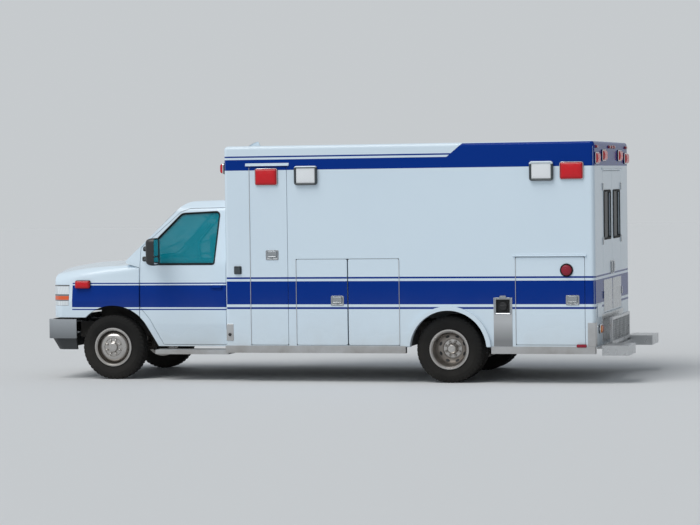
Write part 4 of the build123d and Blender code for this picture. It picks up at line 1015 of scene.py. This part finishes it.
# %% Mirrors
MIRROR_Y = 1.1925
MIRROR_HEAD = [(16, 12), (12, 3), (6, 0), (1, 4), (0, 20), (2, 50), (8, 76), (20, 98), (40, 110), (66, 114.5),
               (90, 115)]
FLAT_GLASS, CURVED_GLASS = [(2, -6), (0, 0), (2, 1.5), (10, 2)], [(2, -6), (0, 0), (4, 2), (12, 4), (26, 5.5)]
for word, sign in SIDES:
    middle = (at(-0.620), sign * MIRROR_Y, 1.475)
    parts = [stack("front", middle, (0.215, 0.314), 0.055, MIRROR_HEAD, steps=9)]
    for z, lift in ((1.385, 0.0), (1.500, 0.045)):
        y = skin_y(z)
        bends = ((-0.392, y - 0.004, 0), (-0.400, y + 0.030, 0.1), (-0.440, y + 0.090, 0.6),
                 (-0.505, 1.085, 1), (-0.560, 1.120, 1))
        arm = [(at(place), sign * out, z + lift * share) for place, out, share in bends]
        parts.append(tube(arm, 0.011, 14, 8))
        parts.append(stack(word, (at(-0.392), sign * (y - 0.006), z), (0.056, 0.060), 0.020,
                           [(0, 0), (0, 10), (4, 14), (14, 17)]))
    piece(f"mirror_head_{word}", parts, f"cab_door_{word}", black_trim, instead=f"mirror_{word}")
    parts = [stack("rear", (at(-0.609), sign * MIRROR_Y, 1.520), (0.178, 0.186), 0.035, FLAT_GLASS),
             stack("rear", (at(-0.609), sign * MIRROR_Y, 1.372), (0.178, 0.080), 0.032, CURVED_GLASS)]
    piece(f"mirror_glass_{word}", parts, f"cab_door_{word}", mirror_silver)
print("mirrors on both doors")

# %% [markdown]
# ## Frames of the body's windows, the inlets and the panels low on the side
# The body's windows are clamped in black frames. Ahead of the tall door sit the flap over the mains inlet
# and a small plate. The filler has a bright bezel, and the lower back corners are guarded by thin metal.

# %% Frames and panels
FRAME = [(-26, 0), (-26, 6), (-22, 9), (-6, 9), (-1, 6), (0, -14), (-4, -16), (-6, -4)]
DOOR_INSIDE = BACK + 0.048
PULL = ((0, 1.500), (0.034, 1.495), (0.042, 1.470), (0.042, 1.230), (0.034, 1.205), (0, 1.200))
SHEET = [(0, 0), (0, 2), (1, 3)]
PLATE_X, PLATE_Z, FILLER_X, FILLER_Z = at(-1.485), 0.560, at(-4.629), 0.855
GUARD_REACH, GUARD_HEIGHT, GUARD_Z = 0.085, 0.260, 0.542
for word, sign in SIDES:
    rims = [stack(face, (x, sign * 0.330, 1.8375), (0.430, 0.505), 0.012, FRAME, ring=True)
            for face, x in (("rear", BACK), ("front", DOOR_INSIDE))]
    piece(f"rear_window_frame_{word}", rims, f"rear_door_{word}", rubber)
    lining = stack("front", (DOOR_INSIDE, sign * 0.330, 1.135), (0.500, 0.550), 0.030,
                   [(0, 0), (0, 4), (3, 7), (20, 7), (24, 5)])
    piece(f"rear_door_lining_{word}", [lining], f"rear_door_{word}", grey_trim)
    pull = tube([(DOOR_INSIDE + out, sign * 0.060, z) for out, z in PULL], 0.009, 12, 5)
    piece(f"rear_door_pull_{word}", [pull], f"rear_door_{word}", brushed)
rim = stack("right", (at(-2.590), -HALF_W, 1.820), (0.520, 0.520), 0.012, FRAME, ring=True)
piece("entry_window_frame", [rim], "entry_door", rubber)

inlet = [stack("left", (at(-1.587), HALF_W, 1.262), (0.088, 0.092), 0.012,
               [(0, 0), (0, 6), (3, 9), (8, 9), (10, 4)]),
         stack("left", (at(-1.587), HALF_W, 1.258), (0.066, 0.070), 0.010,
               [(0, 2), (0, 20), (3, 25), (12, 27)]),
         tube([(at(place), HALF_W + 0.016, 1.300) for place in (-1.622, -1.552)], 0.006, 12, straight=True)]
piece("mains_inlet", inlet, "chassis", dark_bezel)
plates = [stack("left", (PLATE_X, HALF_W, PLATE_Z), (0.082, 0.190), 0.010,
                [(0, 0), (0, 3), (2, 4.5), (10, 4.5)])]
for dx, dz in ((-0.030, 0.082), (0.030, 0.082), (-0.030, -0.082), (0.030, -0.082)):
    plates.append(turned([(5, 0), (5, 2), (3, 3.2), (0, 3.4)], (PLATE_X + dx, HALF_W + 0.0045, PLATE_Z + dz),
                         "y", 1, 12))
for word, sign in SIDES:
    plates.append(stack(word, (BACK + GUARD_REACH / 2, sign * HALF_W, GUARD_Z), (GUARD_REACH, GUARD_HEIGHT),
                        0.004, SHEET))
    plates.append(stack("rear", (BACK, sign * (HALF_W - 0.050), GUARD_Z), (0.100, GUARD_HEIGHT),
                        0.004, SHEET))
piece("side_plates", plates, "chassis", rail_metal)
spot = turned([(18, 0), (18, 10), (14, 14), (0, 15)], (PLATE_X, HALF_W + 0.004, 0.535), "y", 1, 24)
piece("plate_socket", [spot], "chassis", black_trim)

bezel = [stack("left", (FILLER_X, HALF_W + 0.004, FILLER_Z), (0.196, 0.190), 0.020,
               [(0, 0), (0, 4), (4, 8), (10, 8), (15, 4), (16, -10)], ring=True),
         stack("left", (FILLER_X, HALF_W + 0.004, 0.955), (0.075, 0.030), 0.010,
               [(0, 0), (0, 6), (3, 10), (8, 11)])]
piece("filler_bezel", bezel, "chassis", satin)
cap = [turned([(0, 34), (12, 34), (14, 31), (40, 31), (44, 28), (46, 20), (46, 4), (44, 0), (0, 0)],
              (FILLER_X, 1.1655, FILLER_Z), "y", 1, 40),
       stack("left", (FILLER_X, 1.1965, FILLER_Z), (0.074, 0.016), 0.006, [(0, 0), (0, 9), (3, 12)])]
piece("filler_cap", cap, "chassis", black_trim)
piece("kick_plates", [stack("rear", (BACK, 0, 0.585), (1.520, 0.300), 0.010, SHEET)], "chassis", plate_metal)
for word, sign in SIDES:
    plate = stack("rear", (BACK, sign * 0.319, 0.940), (0.600, 0.350), 0.014, SHEET)
    piece(f"rear_door_plate_{word}", [plate], f"rear_door_{word}", plate_metal)
plate = stack("rear", (BACK, 0.930, 0.790), (0.305, 0.152), 0.012, [(0, 2), (0, 5), (1, 6)])
piece("blank_plate", [plate], "chassis", paint_plain)

FIN = np.array([(-1.640, 2.660, 0.016), (-1.655, 2.668, 0.015), (-1.700, 2.694, 0.011),
                (-1.740, 2.709, 0.007), (-1.756, 2.712, 0.005), (-1.764, 2.705, 0.006),
                (-1.772, 2.680, 0.010), (-1.786, 2.660, 0.014)])
place, z, thick = FIN.T
rows = [np.stack([at(place), 0.90 + side * thick * share, z - (1 - share) * 0.001], axis=1)
        for side, share in ((-1, 0.6), (-1, 1.0), (1, 1.0), (1, 0.6))]
piece("roof_fin", [grid(np.array(rows), wrap_columns=True, caps=True)], "chassis", paint_plain)
print("frames, inlet, plates, filler and fin made")

# %% [markdown]
# ## The nose: grille backing, wipers and windscreen rubber
# Behind the bright grille stands the dark radiator with its upright fins. Two wipers rest on the lower edge
# of the windscreen, whose glass is held by a black rubber.

# %% Nose details
FIN_COUNT, FIN_POINTS, TIP_Z = 60, 225, 1.545
SCREEN_CORNERS = [(-0.868, 1.395, 0.060), (0.868, 1.395, 0.060), (0.735, 1.945, 0.070),
                  (-0.735, 1.945, 0.070)]
SCREEN_RUBBER = [(10, 1), (8, 4), (-2, 5), (-12, 1), (-13, -8), (0, -10)]
core_y = np.linspace(-0.560, 0.560, FIN_POINTS)
core_x = at(0.640) + 0.008 * np.abs(np.sin(core_y * FIN_COUNT * math.pi))
core = np.stack([np.stack([core_x, core_y, np.full(FIN_POINTS, z)], axis=1) for z in (0.735, 1.075)])
piece("radiator_core", [grid(core)], "chassis", black_trim, "black_steel")


def on_glass(flat, height):
    """Carries (across, up) points onto the leaning, bowed windscreen, and lifts them off the glass."""
    y, z = flat[..., 0], flat[..., 1]
    x = -0.050 - (z - 1.345) * 1.0432 - y * y / 10.4
    return np.stack([at(x) + height * 0.69, y, z + height * 0.72], axis=-1)


wipers = []
share = np.linspace(0, 1, 7)
for pivot, tip in ((0.640, 0.060), (-0.060, -0.640)):
    arm = np.array([(pivot, 1.372), (pivot - 0.20, 1.420), ((pivot + tip) / 2 - 0.05, 1.470)])
    arm = on_glass(arm, np.array([0.020, 0.034, 0.030]))
    wipers.append(tube(arm, 0.0065, 8, 8, flat=0.6))
    wipers.append(turned([(16, -20), (16, 6), (12, 12), (0, 14)], arm[0], "z", 1, 20))
    across, up = pivot - 0.12 + (tip - pivot + 0.02) * share, 1.405 + (TIP_Z - 1.405) * share ** 1.05
    wipers.append(tube(on_glass(np.stack([across, up], axis=-1), 0.012), 0.0055, 8, 3, flat=1.6))
    across, up = pivot - 0.16 + (tip - pivot + 0.10) * share, 1.415 + (TIP_Z - 1.43) * share ** 1.05
    wipers.append(tube(on_glass(np.stack([across, up], axis=-1), 0.021), 0.004, 8, 3))
piece("wipers", wipers, "chassis", black_trim, "black_steel")
seal = swept_rim(bent_outline(SCREEN_CORNERS), SCREEN_RUBBER, on_glass)
piece("windscreen_rubber", [seal], "chassis", rubber)
print("radiator, wipers and windscreen rubber made")

# %% [markdown]
# ## Cab seats
# A seat is a hard pedestal with a stuffed cushion, a back and a head rest. The stuffed parts start as
# plain rounded forms with raised side rolls, a little too small. A short cloth simulation with inner
# pressure swells them as foam does its cover. Each part is simulated once and copied for the other seat.
# Piping follows the swollen surface afterwards.

# %% Pad forms and their swelling
VOXEL, PRESSURE, CLOTH_STEPS, PAD_LINES = 0.011, 4.0, 20, 14


def pad_form(length, width, thick, roll, corner=0.06):
    """A closed rounded block about its middle, lying flat, with the long edges raised by roll."""
    edge = [(0.030, 0.0), (0.012, 0.006), (0.003, 0.018), (0.0, 0.032), (0.0, thick - 0.032),
            (0.003, thick - 0.018), (0.012, thick - 0.006), (0.030, thick)]
    rings = []
    for inset, height in edge:
        flat = rounded(length - 2 * inset, width - 2 * inset, corner - inset * 0.6, 8)
        rings.append(np.column_stack([flat, np.full(len(flat), height)]))
    for share in np.linspace(0.86, 0.06, PAD_LINES):
        flat = rounded(length - 0.06, width - 0.06, corner - 0.018, 8) * share
        rings.append(np.column_stack([flat, np.full(len(flat), thick)]))
    under = [rings[0] * (share, share, 0) for share in np.linspace(0.06, 0.86, PAD_LINES)]
    points = np.array(under + rings)
    lift = roll * np.clip(np.abs(points[..., 1]) / (width / 2), 0, 1) ** 5
    points[..., 2] += np.where(points[..., 2] > thick * 0.5, lift, 0.0)
    return grid(points, wrap_columns=True, caps=True)


def set_down(part, turn, place):
    """A part turned about the sideways axis by so many degrees, then moved."""
    points, quads, ends = part
    c, s = math.cos(math.radians(turn)), math.sin(math.radians(turn))
    rotate = np.array([[c, 0, s], [0, 1, 0], [-s, 0, c]])
    return points @ rotate.T + np.array(place, float), quads, ends


def corners_of(mesh):
    """The places of a mesh's corners, one a row."""
    flat = np.empty(len(mesh.vertices) * 3)
    mesh.vertices.foreach_get("co", flat)
    return flat.reshape(-1, 3)


def swollen(name, part, most=0.022):
    """The form remeshed and blown up by cloth pressure, each point moved no further than most."""
    points, quads, ends = part
    mesh = bpy.data.meshes.new(name)
    mesh.from_pydata(points.tolist(), [], quads.tolist() + ends)
    made = added(name, mesh)
    remesh = made.modifiers.new("even_faces", "REMESH")
    remesh.mode, remesh.voxel_size = "VOXEL", VOXEL
    start = bpy.data.meshes.new_from_object(made.evaluated_get(bpy.context.evaluated_depsgraph_get()))
    made.modifiers.clear()
    made.data = start
    places = corners_of(start)
    cloth = made.modifiers.new("foam", "CLOTH")
    cloth.settings.quality = 4
    cloth.settings.use_pressure = True
    cloth.settings.uniform_pressure_force = PRESSURE
    cloth.settings.effector_weights.gravity = 0.0
    cloth.collision_settings.use_collision = False
    for step in range(1, CLOTH_STEPS + 1):
        bpy.context.scene.frame_set(step)
    blown = made.evaluated_get(bpy.context.evaluated_depsgraph_get()).to_mesh()
    move = corners_of(blown) - places
    far = np.linalg.norm(move, axis=1, keepdims=True)
    places = places + move * np.minimum(1.0, most / np.maximum(far, 1e-9))
    made.modifiers.clear()
    bpy.context.scene.frame_set(1)
    faces = [list(p.vertices) for p in start.polygons]
    bpy.data.objects.remove(made)
    return places, faces


def pad_piece(name, shapes, body, material):
    """One stuffed object from swollen shapes, finished by one subdivision."""
    points = np.concatenate([shape[0] for shape in shapes])
    faces, start = [], 0
    for some_points, some_faces in shapes:
        faces += [[k + start for k in face] for face in some_faces]
        start += len(some_points)
    mesh = bpy.data.meshes.new(name)
    mesh.from_pydata(points.tolist(), [], faces)
    mesh.shade_smooth()
    mesh.materials.append(material)
    made = added(name, mesh)
    finer = made.modifiers.new("finer", "SUBSURF")
    finer.levels = finer.render_levels = 1
    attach(made, body)
    return made


def piping(shape, outline, direction, origin, along):
    """A cord laid on the swollen surface: each outline point is dropped onto it along the direction."""
    tree_of_faces = BVHTree.FromPolygons([Vector(p) for p in shape[0]], shape[1])
    direction = Vector(direction)
    path = []
    for u, v in outline:
        point = Vector(np.array(origin) + u * np.array(along) + v * np.array((0, 1, 0)))
        hit = tree_of_faces.ray_cast(point - direction * 0.4, direction, 0.9)[0]
        if hit is not None:
            path.append(tuple(hit))
    return tube(path, 0.004, 8, straight=True, closed=True)


# %% Seats
SEAT_Y, BACK_LEAN = 0.430, -83.0
PEDESTAL = [(0, 0), (0, 30), (20, 45), (30, 90), (24, 190), (6, 210), (0, 222), (4, 226)]
cushion = set_down(pad_form(0.450, 0.470, 0.088, 0.022), -4.0, (at(-1.115), SEAT_Y, 0.908))
back = set_down(pad_form(0.600, 0.460, 0.090, 0.030, corner=0.075), BACK_LEAN, (at(-1.335), SEAT_Y, 1.290))
head_rest = set_down(pad_form(0.150, 0.250, 0.070, 0.004, corner=0.055), -84.0, (at(-1.378), SEAT_Y, 1.690))
shapes = [swollen("cushion", cushion), swollen("back", back), swollen("head_rest", head_rest, most=0.012)]
moved = [(points - (0, 2 * SEAT_Y, 0), faces) for points, faces in shapes]
for side, parts in (("left", shapes), ("right", moved)):
    pads = pad_piece("seat_pads_" + side, parts, "chassis", seat_cloth)
    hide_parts("cab_seats")

cords, bases = [], []
top_line, back_line = rounded(0.340, 0.330, 0.050, 10), rounded(0.470, 0.320, 0.060, 10)
lean = math.radians(BACK_LEAN)
up_back = (math.cos(lean), 0, -math.sin(lean))
for sign, pair in ((1, shapes), (-1, moved)):
    y = sign * SEAT_Y
    cords.append(piping(pair[0], top_line, (0, 0, -1), (at(-1.115), y, 1.0), (1, 0, 0)))
    cords.append(piping(pair[1], back_line, (-1, 0, 0), (at(-1.335), y, 1.290), up_back))
    bases.append(stack("up", (at(-1.120), y, 0.680), (0.400, 0.380), 0.040, PEDESTAL))
    for step in (-0.055, 0.055):
        post = [(at(-1.372), y + step, 1.560), (at(-1.388), y + step, 1.655)]
        bases.append(tube(post, 0.007, 12, straight=True))
    x, y = at(-0.990), y + sign * 0.205
    lever = [(x, y, 0.850), (x + 0.03, y + 0.004, 0.862), (x + 0.09, y + 0.004, 0.858)]
    bases.append(tube(lever, 0.008, 10, 6, flat=0.6))
piece("seat_piping", cords, "chassis", black_trim, "seat_fabric")
piece("seat_pedestals", bases, "chassis", black_trim)
print("two seats, each of", len(pads.data.polygons), "faces before the last subdivision")

# %% [markdown]
# ## Hand wheel and dashboard
# The hand wheel is a thick padded ring with a boss; it stands just proud of the plain ring of the solid
# model. The dashboard gets its dials under a hood, four air vents with blades, a radio plate with knobs
# and the lid of the glove box.

# %% Dashboard
WHEEL_MIDDLE, WHEEL_RADIUS, TILT = np.array([at(-0.745), 0.420, 1.150]), 0.186, math.radians(35.0)
WHEEL_ACROSS = np.array([0, 1.0, 0])
WHEEL_AXIS = np.array([-math.cos(TILT), 0.0, math.sin(TILT)])
WHEEL_UP = np.array([math.sin(TILT), 0.0, math.cos(TILT)])
turn = np.linspace(0, TAU, 64, endpoint=False)[:, None]
ring = WHEEL_RADIUS * (np.cos(turn) * WHEEL_ACROSS + np.sin(turn) * WHEEL_UP)
ring += WHEEL_MIDDLE + 0.006 * WHEEL_AXIS


def on_wheel(centre, size, radius, levels):
    """A stack made flat about the middle, carried onto the tilted plane of the hand wheel."""
    points, quads, ends = stack("up", centre, size, radius, levels)
    return points @ np.stack([WHEEL_ACROSS, WHEEL_UP, WHEEL_AXIS]) + WHEEL_MIDDLE, quads, ends


parts = [tube(ring, 0.0192, 14, straight=True, closed=True),
         on_wheel((0, -0.005, 0), (0.190, 0.165), 0.050,
                  [(10, 0), (0, 12), (0, 30), (6, 42), (24, 50), (55, 54)])]
parts += [on_wheel((sign * 0.128, 0, 0), (0.110, 0.046), 0.012, [(0, -7), (0, 19), (4, 24), (12, 26)])
          for sign in (1, -1)]
parts.append(on_wheel((0, 0.100, 0), (0.046, 0.170), 0.012, [(0, -7), (0, 19), (4, 23), (12, 24)]))
piece("hand_wheel", parts, "chassis", black_trim, crease=50)

PANEL_X, CLUSTER_Y, RADIO_Y, GLOVE_Y = at(-0.582), 0.420, 0.0, -0.450
VENT = [(0, 0), (0, 14), (3, 17), (8, 12), (9, -4)]
HOOD_ARCH = [(-0.215, 1.135), (-0.214, 1.235), (-0.190, 1.276), (-0.100, 1.292), (0.0, 1.295), (0.100, 1.292),
             (0.190, 1.276), (0.214, 1.235), (0.215, 1.135)]
dials, bright = [], []
dark = [stack("rear", (PANEL_X + 0.010, CLUSTER_Y, 1.205), (0.400, 0.135), 0.040,
              [(0, 0), (0, 16), (4, 20), (12, 14), (16, 12)]),
        tube([(PANEL_X - 0.018, CLUSTER_Y + y, z) for y, z in HOOD_ARCH], 0.012, 10, 6)]
for y, z, r in ((0.500, 1.205, 48), (0.390, 1.205, 48), (0.310, 1.225, 24), (0.310, 1.175, 24)):
    centre = (PANEL_X - 0.003, y, z)
    dials.append(turned([(r * 0.96, 0), (r * 0.96, 3), (r * 0.2, 3), (r * 0.16, 7), (0, 8)], centre,
                        "x", -1, 32))
    bright.append(turned([(r * 0.95, 0), (r * 1.02, 1), (r * 1.03, 6), (r * 0.98, 8), (r * 0.94, 5)], centre,
                         "x", -1, 32, closed=True))
for y in (0.700, 0.150, -0.150, -0.700):
    dark.append(stack("rear", (PANEL_X + 0.008, y, 1.245), (0.160, 0.066), 0.014, VENT, ring=True))
    for z in (1.227, 1.239, 1.251, 1.263):
        dark.append(stack("rear", (PANEL_X + 0.012, y, z), (0.142, 0.003), 0.001, [(0, 0), (0, 16)]))
dark.append(stack("rear", (PANEL_X + 0.008, RADIO_Y, 1.165), (0.230, 0.085), 0.010,
                  [(0, 0), (0, 14), (3, 18), (10, 18)]))
for y in (-0.085, 0.0, 0.085):
    bright.append(turned([(18, 0), (17, 18), (14, 21), (0, 22)], (PANEL_X - 0.010, y, 1.150), "x", -1, 24))
dark.append(stack("rear", (PANEL_X + 0.010, GLOVE_Y, 1.180), (0.420, 0.110), 0.020,
                  [(0, 0), (0, 12), (4, 16), (12, 17)]))
piece("dash_trim", dark, "chassis", black_trim)
piece("dial_faces", dials, "chassis", grey_trim)
piece("dial_rims", bright, "chassis", brushed, "chrome")
rear_glass = stack("rear", (at(-0.905), 0.0, 1.800), (0.250, 0.060), 0.022,
                   [(4, -18), (0, -10), (0, 0), (3, 2), (8, 2)])
piece("inner_mirror", [rear_glass], "chassis", mirror_silver)
stalk = tube([(at(-0.800), 0, 1.862), (at(-0.850), 0, 1.835), (at(-0.892), 0, 1.805)], 0.007, 10, 6)
piece("inner_mirror_stalk", [stalk], "chassis", black_trim)
print("hand wheel and dashboard dressed")

# %% [markdown]
# ## Inside the box body
# Through the rear doors one sees white lockers, two rows of flat ceiling lamps and a bright grab rail along
# the ceiling. The wall cupboards close with sliding panes in thin metal frames.

# %% Body interior
CEILING, RAIL_DROP, CUPBOARD_Z = 2.610, 0.075, 2.131
LAMP_PANE = [(12, 0), (12, 12), (18, 18), (35, 21)]
LAMP_RIM = [(0, 0), (0, 6), (4, 11), (12, 13), (20, 10), (22, 1)]
RAIL_FOOT = [(36, 0), (36, 4), (20, 10), (17, 75), (0, 76)]
CUPBOARD_FRAME = [(0, 0), (0, 10), (2, 12), (26, 12), (28, 10), (28, -30)]
lamps, rims = [], []
for place in (-2.100, -2.900, -3.700, -4.500, -5.200):
    for y in (-0.420, 0.420):
        lamps.append(stack("down", (at(place), y, CEILING), (0.380, 0.130), 0.040, LAMP_PANE))
        rims.append(stack("down", (at(place), y, CEILING), (0.410, 0.160), 0.050, LAMP_RIM, ring=True))
front_x, middle_x, back_x = at(-2.050), at(-3.600), at(-5.150)
rails = [tube([(front_x, 0, CEILING), (front_x, 0, CEILING - 0.050), (front_x - 0.03, 0, CEILING - RAIL_DROP),
               (middle_x, 0, CEILING - RAIL_DROP), (back_x + 0.03, 0, CEILING - RAIL_DROP),
               (back_x, 0, CEILING - 0.050), (back_x, 0, CEILING)], 0.016, 14, 6)]
rails += [turned(RAIL_FOOT, (x, 0, CEILING), "z", -1, 24) for x in (front_x, back_x, middle_x)]
frames, panes = [], []
for front_x, back_x in ((-2.267, -3.900), (-3.912, -5.544)):
    width = front_x - back_x
    middle = (at((front_x + back_x) / 2), 0.800, CUPBOARD_Z)
    frames.append(stack("right", middle, (width + 0.010, 0.558), 0.006, CUPBOARD_FRAME, ring=True))
    for share, depth in ((0.26, 0.812), (0.74, 0.822)):
        x = at(front_x - width * share)
        panes.append(stack("right", (x, depth, CUPBOARD_Z), (width * 0.50, 0.500), 0.004, [(0, 0), (0, 5)]))
        frames.append(stack("right", (x, depth - 0.004, CUPBOARD_Z), (0.022, 0.120), 0.008,
                            [(0, 0), (0, 4), (3, 6)]))
piece("cupboard_frames", frames, "chassis", brushed, "aluminium")
piece("cupboard_panes", panes, "chassis", lamp_glass)
piece("ceiling_lamps", lamps, "chassis", clear_lens)
piece("ceiling_lamp_rims", rims, "chassis", brushed, "aluminium")
piece("ceiling_grab_rail", rails, "chassis", brushed)
print(len(lamps), "ceiling lamps and one rail")
